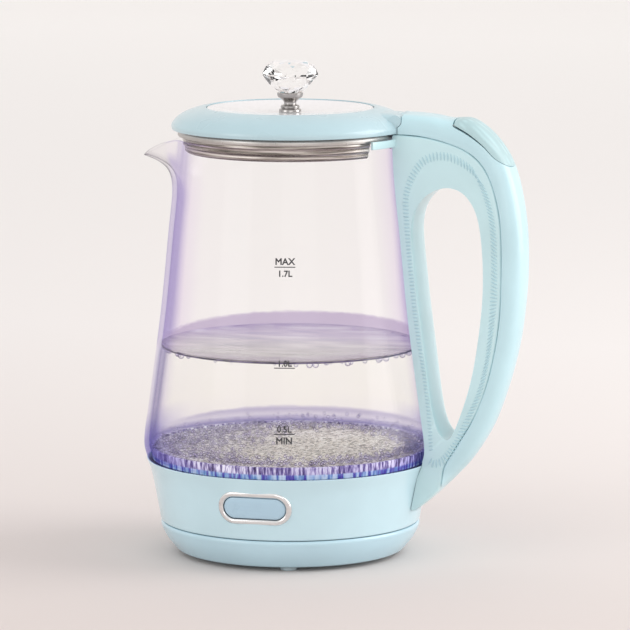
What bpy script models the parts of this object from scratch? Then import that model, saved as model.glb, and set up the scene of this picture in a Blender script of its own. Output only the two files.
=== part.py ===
"""Electric kettle: a glass jug with a heated base, hinged lid and loop handle, on a power base.

Frame: metres, +Z up, origin on the jug's axis at the level of the surface under the feet.
The handle is at +X, the spout at -X and the switch at -Y.  Lengths below are millimetres, and
each helper turns them into metres.
"""
import math

import bmesh
import bpy
from mathutils import Matrix, Vector

MM = 0.001
GAP = 0.3

# Power base
SEAM_Z = 17.6
DECK_Z = 15.0
BASE_R = 69.1
FOOT_CIRCLE_R = 53.2
FOOT_R = 4.4
FOOT_START_DEG = -75.0
BASE_SCREW_CIRCLE_R = 40.0
TOWER_R = 12.0
TOWER_TOP_Z = 25.5
GLAND_Z = 8.0

# Jug
COLLAR_FOOT_Z = 18.0
COLLAR_TOP_Z = 51.0
COLLAR_SCREW_CIRCLE_R = 34.0
PLATE_Z = 57.0
RIM_Z = 221.0
GLASS_THICKNESS = 2.6
SPOUT_REACH = 21.5
SPOUT_DROP = 11.3
SPOUT_HALF_DEG = 30.0
SPOUT_START_Z = 186.0
LED_CIRCLE_R = 61.0

# Handle: half width, wall and the seam between its body and its back cover
HANDLE_HALF = 13.0
HANDLE_WALL = 2.4
STEAM_TUBE_R = 1.4
FOOT_SCREW_Y = (-6.0, 6.0)
FOOT_SCREW_Z = 38.0
NECK_X = 61.8
NECK_TOP_Z = 235.6

# Lid and its hinge
LID_R = 62.8
LID_EDGE_Z = 226.0
LID_REAR_X = 61.4
DISC_R = 44.0
DISC_CENTRE_Z = 234.6
DISC_RISE = 2.6
HINGE = (60.6, 232.6)
HINGE_PIN_R = 0.9
BARREL_R = 2.9
EYE_R = 1.6
LUG_HALF = 3.6

# Thumb button and latch
BUTTON_PIVOT = (112.5, 210.0)
BUTTON_PIN_R = 1.2
SPRING_FOOT = Vector((101.6, 0.0, 217.9))
SPRING_AXIS = Vector((0.62, 0.0, 0.78))
LATCH_Z = (226.0, 228.0)
LATCH_X = (62.6, 86.8)

# Front switch
SWITCH_CENTRE = (1.0, 35.2)
SWITCH_PIVOT_Y = -68.9
BEZEL_SIZE = (39.4, 17.4)
WINDOW_SIZE = (34.0, 12.4)
BUTTON_SIZE = (33.2, 11.4)
BEZEL_RISE = 1.2
BUTTON_RISE = 0.4
SWITCH_PIN_R = 0.7
LEVER_FACE_Y = -25.0
LEVER_PIVOT = (-16.0, 38.0)

ROUND_STEPS = 40
SMALL_STEPS = 12

BLUE = ((0.54, 0.72, 0.77), 0.25, 0.0)
BLUE_SHADE = ((0.47, 0.66, 0.72), 0.30, 0.0)
WHITE = ((0.88, 0.87, 0.89), 0.15, 0.0)
CHROME = ((0.80, 0.80, 0.82), 0.10, 1.0)
STEEL = ((0.55, 0.53, 0.51), 0.35, 1.0)
BRASS = ((0.72, 0.52, 0.25), 0.30, 1.0)
GREY = ((0.38, 0.36, 0.35), 0.40, 0.0)
DARK = ((0.06, 0.06, 0.07), 0.50, 0.0)
RUBBER = ((0.62, 0.66, 0.68), 0.70, 0.0)
SILICONE = ((0.80, 0.80, 0.82), 0.50, 0.0)
GLASS = ((0.86, 0.82, 0.90), 0.05, 0.0)
CRYSTAL = ((0.92, 0.93, 0.94), 0.02, 0.0)
LED_LENS = ((0.45, 0.35, 0.85), 0.20, 0.0)
BOARD = ((0.10, 0.30, 0.20), 0.60, 0.0)


def clear_scene():
    """Remove every object, so that the model is the only thing in the file."""
    for item in list(bpy.data.objects):
        bpy.data.objects.remove(item, do_unlink=True)


def new_collection(name):
    """Make a collection in the scene and return it."""
    collection = bpy.data.collections.new(name)
    bpy.context.scene.collection.children.link(collection)
    return collection


clear_scene()
PARTS = new_collection("electric_kettle")
CUTTERS = new_collection("cutters")


def material(name, look):
    """Make a Principled material from a (colour, roughness, metallic) look."""
    colour, roughness, metallic = look
    made = bpy.data.materials.new(name)
    made.use_nodes = True
    shader = made.node_tree.nodes["Principled BSDF"]
    shader.inputs["Base Color"].default_value = (*colour, 1.0)
    shader.inputs["Roughness"].default_value = roughness
    shader.inputs["Metallic"].default_value = metallic
    made.diffuse_color = (*colour, 1.0)
    return made


def add_object(name, data, look):
    """Link data as a named part, or as a hidden cutter where look is None."""
    made = bpy.data.objects.new(name, data)
    if look is None:
        CUTTERS.objects.link(made)
        made.hide_render = True
        made.display_type = "WIRE"
        return made
    PARTS.objects.link(made)
    data.materials.append(material(name, look))
    return made


def mesh_from(name, bm, look):
    """Turn a bmesh in millimetres into a part or a cutter in metres."""
    bmesh.ops.recalc_face_normals(bm, faces=bm.faces)
    bmesh.ops.scale(bm, vec=(MM, MM, MM), verts=bm.verts)
    mesh = bpy.data.meshes.new(name)
    bm.to_mesh(mesh)
    bm.free()
    return add_object(name, mesh, look)


def turned(name, profile, look, steps=ROUND_STEPS, centre=(0.0, 0.0)):
    """Turn (radius, height) points about Z; a profile off the axis is a closed ring."""
    mesh = bpy.data.meshes.new(name)
    points = [(r * MM, 0.0, z * MM) for r, z in profile]
    edges = [(i, i + 1) for i in range(len(points) - 1)]
    if profile[0][0] > 0.0:
        edges.append((len(points) - 1, 0))
    mesh.from_pydata(points, edges, [])
    made = add_object(name, mesh, look)
    made.location = (centre[0] * MM, centre[1] * MM, 0.0)
    screw = made.modifiers.new("turn", "SCREW")
    screw.steps = steps
    screw.render_steps = steps
    screw.use_merge_vertices = True
    screw.merge_threshold = 0.00001
    screw.use_smooth_shade = False
    return made


def box(name, low, high, look, edge=0.0):
    """Make a box between two corners, with its edges rounded by edge."""
    bm = bmesh.new()
    bmesh.ops.create_cube(bm, size=1.0)
    size = Vector(high) - Vector(low)
    bmesh.ops.scale(bm, vec=size, verts=bm.verts)
    bmesh.ops.translate(bm, vec=(Vector(high) + Vector(low)) / 2.0, verts=bm.verts)
    if edge:
        bmesh.ops.bevel(bm, geom=bm.edges[:], offset=edge, segments=2, affect="EDGES", profile=0.5)
    return mesh_from(name, bm, look)


def rod(name, start, end, radius, look, steps=SMALL_STEPS):
    """Make a round rod between two points."""
    axis = Vector(end) - Vector(start)
    turn = axis.to_track_quat("Z", "Y").to_matrix().to_4x4()
    place = Matrix.Translation((Vector(end) + Vector(start)) / 2.0) @ turn
    bm = bmesh.new()
    bmesh.ops.create_cone(bm, cap_ends=True, segments=steps, radius1=radius, radius2=radius,
                          depth=axis.length, matrix=place)
    return mesh_from(name, bm, look)


def flat_plate(name, loops, half, look, edge=0.0):
    """Extrude closed XZ outlines by half a width each way along Y, with rounded edges."""
    curve = bpy.data.curves.new(name + "_outline", "CURVE")
    curve.dimensions = "2D"
    curve.fill_mode = "BOTH"
    curve.extrude = (half - edge) * MM
    curve.bevel_depth = edge * MM
    curve.bevel_resolution = 0
    curve.offset = -edge * MM
    for loop in loops:
        spline = curve.splines.new("POLY")
        spline.points.add(len(loop) - 1)
        spline.use_cyclic_u = True
        for point, (x, z) in zip(spline.points, loop):
            point.co = (x * MM, z * MM, 0.0, 1.0)
    outline = bpy.data.objects.new(name + "_outline", curve)
    outline.rotation_euler = (math.radians(90.0), 0.0, 0.0)
    return solid_from_curve(name, outline, look)


def wire(name, points, radius, look, sides=1):
    """Run a round wire through a list of points."""
    curve = bpy.data.curves.new(name + "_path", "CURVE")
    curve.dimensions = "3D"
    curve.bevel_depth = radius * MM
    curve.bevel_resolution = sides
    curve.use_fill_caps = True
    spline = curve.splines.new("POLY")
    spline.points.add(len(points) - 1)
    for point, place in zip(spline.points, points):
        point.co = (*[value * MM for value in place], 1.0)
    return solid_from_curve(name, bpy.data.objects.new(name + "_path", curve), look)


def solid_from_curve(name, guide, look):
    """Make a welded mesh from a curve object, and remove the curve."""
    CUTTERS.objects.link(guide)
    bpy.context.view_layer.update()
    evaluated = guide.evaluated_get(bpy.context.evaluated_depsgraph_get())
    mesh = bpy.data.meshes.new_from_object(evaluated)
    mesh.transform(guide.matrix_world)
    mesh.materials.clear()
    bpy.data.objects.remove(guide)
    bm = bmesh.new()
    bm.from_mesh(mesh)
    bmesh.ops.remove_doubles(bm, verts=bm.verts, dist=0.000005)
    bmesh.ops.recalc_face_normals(bm, faces=bm.faces)
    bm.to_mesh(mesh)
    bm.free()
    mesh.name = name
    return add_object(name, mesh, look)


def combine(target, operation, *tools):
    """Apply each tool to the target with a Boolean modifier."""
    for tool in tools:
        step = target.modifiers.new(operation.lower(), "BOOLEAN")
        step.operation = operation
        step.object = tool
    return target


def cut(target, *tools):
    """Take the tools out of the target."""
    return combine(target, "DIFFERENCE", *tools)


def join(target, *tools):
    """Add the tools to the target."""
    return combine(target, "UNION", *tools)


def around(radius, degrees):
    """Give the XY place on a circle about the jug's axis."""
    turn = math.radians(degrees)
    return radius * math.cos(turn), radius * math.sin(turn)


def smooth(points, steps):
    """Run a Catmull-Rom curve through the points, with steps samples a span."""
    ends = [points[0]] + list(points) + [points[-1]]
    samples = []
    for a, b, c, d in zip(ends, ends[1:], ends[2:], ends[3:]):
        for i in range(steps):
            t = i / steps
            samples.append(tuple(
                0.5 * (2 * q + (r - p) * t + (2 * p - 5 * q + 4 * r - s) * t ** 2
                       + (3 * q - p - 3 * r + s) * t ** 3)
                for p, q, r, s in zip(a, b, c, d)))
    samples.append(tuple(points[-1]))
    return samples


def smooth_loop(points, steps):
    """Run a closed Catmull-Rom curve through the points."""
    count = len(points)
    ring = [points[-1]] + list(points) + [points[0], points[1]]
    return smooth(ring, steps)[steps:steps * (count + 1)]


def shifted(points, distance, closed=False):
    """Move a curve sideways, to the left of its direction where distance is positive."""
    count = len(points)
    moved = []
    for i, (x, z) in enumerate(points):
        before = points[i - 1] if closed or i else points[0]
        after = points[(i + 1) % count] if closed or i < count - 1 else points[-1]
        dx, dz = after[0] - before[0], after[1] - before[1]
        length = math.hypot(dx, dz)
        moved.append((x - dz / length * distance, z + dx / length * distance))
    return moved


def stadium(centre, size, steps=7):
    """Outline of a bar with round ends in XZ."""
    radius = size[1] / 2.0
    reach = size[0] / 2.0 - radius
    loop = []
    for side, start in ((1.0, -90.0), (-1.0, 90.0)):
        for i in range(steps + 1):
            turn = math.radians(start + 180.0 * i / steps)
            loop.append((centre[0] + side * reach + radius * math.cos(turn),
                         centre[1] + radius * math.sin(turn)))
    return loop


def coil(centre, direction, radius, length, turns, steps=7):
    """Points along a helix about a line in the XZ plane."""
    along = Vector((direction[0], 0.0, direction[1])).normalized()
    across = along.cross(Vector((0.0, 1.0, 0.0)))
    count = turns * steps
    points = []
    for i in range(count + 1):
        turn = 2.0 * math.pi * i / steps
        place = (Vector((centre[0], 0.0, centre[1])) + along * length * (i / count)
                 + across * radius * math.cos(turn)
                 + Vector((0.0, 1.0, 0.0)) * radius * math.sin(turn))
        points.append(tuple(place))
    return points


def screw(name, centre, head_z, up, reach, look=STEEL):
    """A pan-head screw on a vertical line; up is 1 for a head under its shank, else -1."""
    profile = [(0.0, head_z + up * reach), (1.5, head_z + up * reach), (1.5, head_z + up * 1.0),
               (2.9, head_z + up * 1.0), (2.9, head_z + up * 0.3), (2.3, head_z), (0.0, head_z)]
    if up < 0:
        profile.reverse()
    return turned(name, profile, look, SMALL_STEPS, centre)


# The jug's outside, from the collar's foot up to the glass rim.
COLLAR_OUTSIDE = [(68.9, 18.4), (71.0, 29.7), (73.8, 44.3), (76.4, COLLAR_TOP_Z)]
GLASS_OUTSIDE = [(72.2, 45.0), (76.7, 53.7), (77.5, 63.0), (74.6, 84.0), (68.5, 129.6), (64.3, 171.7),
                 (62.4, 189.0), (60.9, 205.0), (60.4, 214.0), (60.2, RIM_Z)]


def jug_envelope():
    """A cutter that fills the jug's outside with a small gap around it."""
    wall = COLLAR_OUTSIDE + [p for p in GLASS_OUTSIDE if p[1] > COLLAR_TOP_Z + 1.0]
    outside = [(r + GAP, z) for r, z in reversed(wall)]
    top = [(0.0, 238.0), (outside[0][0], 238.0)]
    foot = [(outside[-1][0], 10.0), (0.0, 10.0)]
    return turned("jug_envelope", top + outside + foot, None)


# --- Power base -----------------------------------------------------------------------------

def base_screw_places():
    """Centres of the three screws under the power base."""
    return [around(BASE_SCREW_CIRCLE_R, degrees) for degrees in (45.0, 165.0, 285.0)]


def foot_places():
    """Centres of the four rubber feet."""
    return [around(FOOT_CIRCLE_R, FOOT_START_DEG + 90.0 * i) for i in range(4)]


def base_shell():
    """The bowl-shaped upper shell, with its deck, screw bosses and cord notch."""
    bowl = [(66.2, SEAM_Z), (68.6, SEAM_Z), (BASE_R, 16.4), (66.9, 10.7), (60.0, 2.2), (58.0, 2.2),
            (64.2, 10.6), (64.8, 13.0), (12.4, 13.0), (12.4, DECK_Z), (65.0, DECK_Z)]
    shell = turned("base_shell", bowl, BLUE_SHADE)
    for i, (x, y) in enumerate(base_screw_places()):
        join(shell, rod(f"base_boss_{i}", (x, y, 4.4), (x, y, 13.6), 3.6, None))
        cut(shell, rod(f"base_pilot_{i}", (x, y, 2.0), (x, y, 11.6), 1.8, None))
    cut(shell, rod("gland_hole", (0.0, 50.0, GLAND_Z), (0.0, 75.0, GLAND_Z), 4.3, None))


def base_bottom_cover():
    """The plate that closes the power base, with a raised middle and screw recesses."""
    plate = [(0.0, 4.0), (57.6, 4.0), (57.6, 2.2), (48.5, 2.2), (47.5, 1.2), (0.0, 1.2)]
    cover = turned("base_bottom_cover", plate, BLUE_SHADE)
    for i, (x, y) in enumerate(base_screw_places()):
        cut(cover, rod(f"recess_{i}", (x, y, 0.0), (x, y, 2.7), 3.3, None),
            rod(f"cover_hole_{i}", (x, y, 0.0), (x, y, 5.0), 1.9, None))
        screw(f"base_screw_{i + 1}", (x, y), 1.4, 1.0, 9.6)
    for i, (x, y) in enumerate(foot_places()):
        cut(cover, rod(f"foot_hole_{i}", (x, y, 1.0), (x, y, 5.0), 2.3, None))


def base_feet():
    """Rubber feet, each with a button that snaps through the bottom cover."""
    profile = [(0.0, 5.6), (2.6, 5.4), (2.9, 4.3), (1.9, 4.3), (1.9, 1.9), (FOOT_R, 1.9),
               (FOOT_R, 0.5), (FOOT_R - 0.5, 0.0), (0.0, 0.0)]
    for i, place in enumerate(foot_places()):
        turned(f"base_foot_{i + 1}", profile, RUBBER, SMALL_STEPS, place)


def base_connector():
    """The round connector tower with its contact pin and ring, and the cord's gland."""
    tower = [(2.2, TOWER_TOP_Z), (3.6, TOWER_TOP_Z), (3.6, 16.0), (7.2, 16.0), (7.2, TOWER_TOP_Z),
             (11.2, TOWER_TOP_Z), (TOWER_R, 24.6), (TOWER_R, 12.7), (16.5, 12.7), (16.5, 10.4),
             (TOWER_R, 10.4), (TOWER_R, 6.0), (2.2, 6.0)]
    turned("base_connector", tower, DARK, 24)
    rod("base_contact_pin", (0.0, 0.0, 5.0), (0.0, 0.0, 23.0), 1.7, BRASS)
    ring = [(6.0, 22.5), (6.8, 22.5), (6.8, 16.4), (6.0, 16.4)]
    turned("base_contact_ring", ring, BRASS, 24)
    gland = rod("cord_gland", (0.0, 60.0, GLAND_Z), (0.0, 67.4, GLAND_Z), 3.9, DARK)
    cut(gland, rod("cord_bore", (0.0, 55.0, GLAND_Z), (0.0, 70.0, GLAND_Z), 2.6, None))


# --- Jug ------------------------------------------------------------------------------------

def spout_pull(x, y, z):
    """How far a point of the jug's wall belongs to the spout, sideways and upwards, each 0 to 1."""
    off = abs(math.degrees(math.atan2(y, -x)))
    side = max(0.0, 1.0 - off / SPOUT_HALF_DEG)
    rise = max(0.0, (z - SPOUT_START_Z) / (RIM_Z - SPOUT_START_Z))
    return side ** 1.6 * (3.0 - 2.0 * side) ** 0.5, rise


def glass_jug():
    """The glass wall: a turned sheet, drawn out into a spout and thickened inwards."""
    bm = bmesh.new()
    line = [bm.verts.new((r, 0.0, z)) for r, z in GLASS_OUTSIDE]
    edges = [bm.edges.new(pair) for pair in zip(line, line[1:])]
    bmesh.ops.spin(bm, geom=line + edges, axis=(0.0, 0.0, 1.0), cent=(0.0, 0.0, 0.0),
                   steps=ROUND_STEPS, angle=2.0 * math.pi, use_merge=True)
    bmesh.ops.remove_doubles(bm, verts=bm.verts, dist=0.01)
    for vert in bm.verts:
        side, rise = spout_pull(*vert.co)
        radius = math.hypot(vert.co.x, vert.co.y)
        grow = 1.0 + SPOUT_REACH * side * rise ** 2.2 / radius
        vert.co.x *= grow
        vert.co.y *= grow
        vert.co.z -= SPOUT_DROP * side ** 1.5 * rise ** 2
    jug = mesh_from("glass_jug", bm, GLASS)
    if jug.data.polygons[0].normal.dot(jug.data.polygons[0].center) < 0.0:
        jug.data.flip_normals()
    wall = jug.modifiers.new("wall", "SOLIDIFY")
    wall.thickness = GLASS_THICKNESS * MM
    wall.offset = -1.0


def heater():
    """Steel plate that closes the glass, its seal, the element under it and the bimetal disc."""
    plate = [(0.0, PLATE_Z), (71.2, PLATE_Z), (71.9, 56.4), (71.6, 53.0), (68.4, 46.0),
             (67.4, 46.0), (70.6, 53.2), (70.7, 55.8), (0.0, 55.8)]
    turned("heater_plate", plate, STEEL)
    seal = [(72.3, 57.2), (73.8, 57.2), (73.0, 53.4), (72.1, 53.4)]
    turned("plate_seal", seal, SILICONE)
    arc = [around(46.0, 120.0 + 300.0 * i / 24) for i in range(25)]
    wire("heating_element", [(x, y, 51.8) for x, y in arc], 3.6, STEEL, 1)
    turned("bimetal_disc", [(0.0, 50.6), (9.0, 50.0), (9.0, 49.2), (0.0, 49.8)], BRASS, SMALL_STEPS)


def jug_control():
    """The control under the plate, and the socket that fits over the base's tower."""
    socket = [(0.0, 34.0), (17.0, 34.0), (17.0, 18.4), (12.8, 18.4), (12.8, 26.3), (5.4, 26.3),
              (5.4, 17.2), (4.2, 17.2), (4.2, 26.3), (0.0, 26.3)]
    turned("jug_connector", socket, DARK, 24)
    block = box("control_module", (-22.0, -20.0, 34.4), (22.0, 20.0, 48.6), DARK, 1.5)
    cut(block, box("lever_slot", (-3.0, -25.0, 33.0), (3.0, -13.0, 45.0), None))


def collar():
    """The collar round the jug's foot, its bottom cover and screws."""
    outside = list(reversed(COLLAR_OUTSIDE))
    inside = [(68.4, COLLAR_FOOT_Z), (66.5, COLLAR_FOOT_Z), (68.6, 30.0), (70.6, 41.0),
              (69.3, 42.6), (69.3, 44.5), (72.7, 44.5), (75.75, COLLAR_TOP_Z)]
    shell = turned("collar_shell", outside + inside, BLUE)
    cut(shell, flat_plate("bezel_hole", [stadium(SWITCH_CENTRE, grown(BEZEL_SIZE, -0.8))], 20.0,
                          None))
    bpy.data.objects["bezel_hole"].location.y = -70.0 * MM
    cover = turned("collar_bottom_cover", [(17.4, 20.0), (66.1, 20.0), (66.1, COLLAR_FOOT_Z),
                                           (17.4, COLLAR_FOOT_Z)], BLUE_SHADE)
    for i, degrees in enumerate((60.0, 180.0, 300.0)):
        x, y = around(COLLAR_SCREW_CIRCLE_R, degrees)
        cut(cover, rod(f"collar_hole_{i}", (x, y, 17.0), (x, y, 21.0), 1.9, None),
            rod(f"collar_recess_{i}", (x, y, 17.0), (x, y, 19.2), 3.3, None))
        screw(f"collar_screw_{i + 1}", (x, y), 18.0, 1.0, 14.0)


def grown(size, amount):
    """Make a (width, height) size bigger all round."""
    return size[0] + 2.0 * amount, size[1] + 2.0 * amount


def led_ring():
    """The ring-shaped board under the glass, and its lamps."""
    board = [(54.0, 39.6), (66.0, 39.6), (66.0, 38.2), (54.0, 38.2)]
    turned("led_board", board, BOARD)
    lamp = [(0.0, 42.4), (1.6, 41.9), (2.2, 40.6), (2.2, 39.9), (0.0, 39.9)]
    for i in range(6):
        turned(f"led_{i + 1}", lamp, LED_LENS, 12, around(LED_CIRCLE_R, 30.0 + 60.0 * i))


# --- Front switch ---------------------------------------------------------------------------

def switch_skin(name, extra):
    """A solid with the collar's outside plus extra, which gives the switch its curve."""
    outside = [(r + extra, z) for r, z in reversed(COLLAR_OUTSIDE)]
    return turned(name, [(0.0, COLLAR_TOP_Z)] + outside + [(0.0, 18.4)], None)


def upright_plate(name, loops, half, y, look):
    """A flat plate in XZ whose middle is at y."""
    plate = flat_plate(name, loops, half, look)
    plate.data.transform(Matrix.Translation((0.0, y * MM, 0.0)))
    return plate


def pin_line(name, start, end, radius, look=None):
    """A rod along the switch button's pivot, between two X places."""
    z = SWITCH_CENTRE[1]
    return rod(name, (start, SWITCH_PIVOT_Y, z), (end, SWITCH_PIVOT_Y, z), radius, look)


def switch_bezel():
    """The bezel: a flange on the collar's outside, a sleeve through its hole and two pin seats."""
    window = stadium(SWITCH_CENTRE, WINDOW_SIZE)
    bezel = upright_plate("switch_bezel", [stadium(SWITCH_CENTRE, grown(BEZEL_SIZE, -1.2)), window],
                          8.0, -74.0, CHROME)
    flange = upright_plate("bezel_flange", [stadium(SWITCH_CENTRE, BEZEL_SIZE), window],
                           8.0, -80.4, None)
    cut(flange, switch_skin("bezel_seat", GAP))
    join(bezel, flange)
    combine(bezel, "INTERSECT", switch_skin("bezel_face", BEZEL_RISE))
    for side in (-1.0, 1.0):
        reach = SWITCH_CENTRE[0] + side * (WINDOW_SIZE[0] / 2.0 - 1.0)
        cut(bezel, pin_line(f"pin_seat_{int(side)}", reach - 2.2, reach + 2.2, SWITCH_PIN_R + GAP))


def switch_button():
    """The rocking button and the pin that it turns on."""
    x, z = SWITCH_CENTRE
    button = upright_plate("switch_button", [stadium(SWITCH_CENTRE, BUTTON_SIZE)], 3.0, -70.6, BLUE)
    combine(button, "INTERSECT", switch_skin("button_face", BUTTON_RISE))
    cut(button, pin_line("button_pin_bore", x - 30.0, x + 30.0, SWITCH_PIN_R + GAP))
    set_origin(button, (x, SWITCH_PIVOT_Y, z))
    half = WINDOW_SIZE[0] / 2.0 + 0.8
    pin_line("switch_pivot_pin", x - half, x + half, SWITCH_PIN_R, STEEL)


def switch_link():
    """The rod behind the button's lower edge, and the control's trip lever that it pushes."""
    rod_z = SWITCH_CENTRE[1] - 4.0
    rod("switch_link_rod", (0.0, -67.0, rod_z), (0.0, LEVER_FACE_Y - 0.6, rod_z), 1.3, DARK)
    lever = box("trip_lever", (-2.4, LEVER_FACE_Y, 30.0), (2.4, LEVER_FACE_Y + 2.6, 39.0), DARK, 0.4)
    join(lever, box("lever_arm", (-2.4, LEVER_FACE_Y, 37.0), (2.4, -14.0, 39.0), None))
    set_origin(lever, (0.0, *LEVER_PIVOT))


def set_origin(item, place):
    """Put an object's origin at a place without moving its shape."""
    spot = Vector(place) * MM
    item.data.transform(Matrix.Translation(-spot))
    item.location = spot


# --- Handle ---------------------------------------------------------------------------------

SEAM = smooth([(NECK_X, 225.6), (79.9, 223.9), (99.0, 217.6), (110.4, 205.3), (116.4, 184.0),
               (117.6, 160.0), (116.9, 132.0), (112.6, 104.7), (105.2, 81.5), (94.3, 62.6),
               (87.6, 51.0), (86.6, 43.3)], 2)
FINGER_HOLE = smooth_loop([(87.6, 198.5), (76.0, 192.0), (74.0, 178.0), (76.6, 150.0),
                           (81.4, 113.6), (85.4, 77.0), (89.2, 65.8), (94.8, 75.0),
                           (103.0, 102.9), (107.9, 143.3), (106.0, 178.0), (99.0, 194.0)], 3)
BACK_TOP = smooth([(NECK_X, NECK_TOP_Z), (76.0, 235.2), (89.8, 233.0)], 2)
BUTTON_FLOOR = smooth([(90.4, 229.6), (99.0, 225.6), (107.0, 219.6), (113.4, 212.8),
                       (119.6, 207.2)], 2)
BACK = smooth([(121.9, 206.6), (126.2, 192.0), (128.8, 168.0), (128.2, 140.0), (122.6, 107.0),
               (111.7, 73.5), (94.5, 48.0), (85.3, 39.0)], 2)


def handle_body():
    """The loop with the finger hole: hollow, and open towards the back cover."""
    seam = shifted(SEAM, -GAP / 2.0)
    foot = [(84.6, 38.6), (78.4, 32.6), (72.0, 27.0), (50.0, 27.0)]
    outline = [(50.0, 225.3)] + seam + foot
    body = flat_plate("handle_body", [outline, FINGER_HOLE], HANDLE_HALF, BLUE, 1.5)
    cut(body, jug_envelope())
    jug_side = [(r + GAP + 2.2, z) for r, z in GLASS_OUTSIDE[2:-1]][::-1]
    jug_side = [(jug_side[0][0], 221.5)] + jug_side + [(79.4, 50.0)]
    beyond = shifted(SEAM[:-3], 4.0)
    room = jug_side[::-1] + beyond + [(97.0, 52.0), (90.0, 46.0)]
    core = shifted(FINGER_HOLE, -HANDLE_WALL, closed=True)
    hollow = flat_plate("handle_hollow", [room, core], HANDLE_HALF - HANDLE_WALL, None)
    cut(body, hollow)
    for i, y in enumerate(FOOT_SCREW_Y):
        cut(body, rod(f"foot_pilot_{i}", (60.0, y, FOOT_SCREW_Z), (82.6, y, FOOT_SCREW_Z), 1.8, None))


def handle_back_cover():
    """The cover from the lid's neck over the top and down the back of the handle."""
    inner = shifted(SEAM, GAP / 2.0)
    outline = inner[::-1] + BACK_TOP + BUTTON_FLOOR + BACK
    cover = flat_plate("handle_back_cover", [outline], HANDLE_HALF, BLUE_SHADE, 1.5)
    roof = [(50.0, 233.4)] + shifted(BACK_TOP, -HANDLE_WALL)[:-1] + shifted(BUTTON_FLOOR, -HANDLE_WALL)
    room = roof + shifted(BACK[1:-2], -HANDLE_WALL) + shifted(SEAM, -6.0)[-5:0:-1] + [(50.0, 215.0)]
    cut(cover, flat_plate("cover_hollow", [room], HANDLE_HALF - HANDLE_WALL, None))
    room_r = BARREL_R + 0.5
    cut(cover, rod("barrel_room", (HINGE[0], -20.0, HINGE[1]), (HINGE[0], 20.0, HINGE[1]),
                   room_r, None, 32),
        box("barrel_way_out", (50.0, -20.0, HINGE[1]), (HINGE[0] + room_r, 20.0, 245.0), None))
    join(cover, rod("spring_boss", SPRING_FOOT - 1.4 * SPRING_AXIS, SPRING_FOOT + 4.0 * SPRING_AXIS,
                    3.4, None, 16))
    cut(cover, rod("spring_hole", SPRING_FOOT - 0.3 * SPRING_AXIS, SPRING_FOOT + 8.0 * SPRING_AXIS,
                   2.5, None, 16))
    x, z = BUTTON_PIVOT
    cut(cover, rod("button_pin_hole", (x, -11.8, z), (x, 11.8, z), BUTTON_PIN_R + GAP, None, 16),
        box("pivot_leg_slot", (107.5, -3.6, 206.0), (117.0, 3.6, 222.0), None),
        box("prong_slot", (94.4, -3.0, 221.0), (100.2, 3.0, 234.0), None))
    rod("button_pivot_pin", (x, -11.4, z), (x, 11.4, z), BUTTON_PIN_R, STEEL, 16)


def release_button():
    """The thumb button on top of the handle, with its pivot leg and its prong."""
    under = smooth([(91.8, 231.2), (99.6, 226.9), (107.8, 220.6), (114.2, 213.6),
                    (120.2, 208.0)], 2)
    crown = smooth([(121.6, 208.6), (118.0, 216.4), (111.0, 225.2), (104.0, 231.2),
                    (98.5, 234.0), (93.4, 233.8)], 2)
    button = flat_plate("lid_release_button", [under + crown], HANDLE_HALF - 0.5, BLUE, 0.8)
    x, z = BUTTON_PIVOT
    join(button, box("pivot_leg", (109.8, -2.8, 209.0), (115.2, 2.8, 217.5), None),
         rod("pivot_boss", (x, -2.8, z), (x, 2.8, z), 2.9, None, 16),
         box("prong", (96.2, -2.0, 222.6), (98.8, 2.0, 230.5), None))
    cut(button, rod("pivot_bore", (x, -5.0, z), (x, 5.0, z), BUTTON_PIN_R + GAP, None, 16))
    set_origin(button, (x, 0.0, z))


def latch():
    """The slider that holds the lid shut, its spring and the button's spring."""
    low, high = LATCH_Z
    slider = box("latch_slider", (LATCH_X[0], -2.6, low), (LATCH_X[1], 2.6, high), WHITE, 0.3)
    join(slider, box("latch_lug", (80.6, -2.2, 221.6), (82.6, 2.2, low + 0.6), None),
         box("latch_tail", (82.0, -2.0, 221.8), (94.2, 2.0, 223.8), None))
    wire("latch_spring", coil((66.5, 223.2), (1.0, 0.0), 1.7, 13.6, 5), 0.3, STEEL)
    wire("button_spring", coil((SPRING_FOOT.x, SPRING_FOOT.z), (SPRING_AXIS.x, SPRING_AXIS.z), 1.7,
                               4.9, 3), 0.3, STEEL)


def steam_tube():
    """The tube in the handle that leads steam down towards the control."""
    line = smooth([(66.4, 217.0), (67.2, 195.0), (69.2, 172.0), (72.9, 138.0), (77.6, 102.0),
                   (80.4, 78.0), (81.6, 62.0), (82.0, 52.0)], 2)
    wire("steam_tube", [(x, 0.0, z) for x, z in line], STEAM_TUBE_R, SILICONE, 2)


def handle_screws():
    """The two screws that hold the handle's foot to the collar from inside."""
    z = FOOT_SCREW_Z
    for i, y in enumerate(FOOT_SCREW_Y):
        shank = rod(f"handle_screw_{i + 1}", (68.0, y, z), (81.8, y, z), 1.5, STEEL)
        join(shank, rod(f"screw_head_{i}", (66.8, y, z), (68.2, y, z), 2.8, None))
        cut(bpy.data.objects["collar_shell"],
            rod(f"collar_side_hole_{i}", (60.0, y, z), (80.0, y, z), 1.8, None))


# --- Lid ------------------------------------------------------------------------------------

def disc_height(radius):
    """Height of the dished lid disc's upper face."""
    return DISC_CENTRE_Z + DISC_RISE * (radius / DISC_R) ** 2


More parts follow.
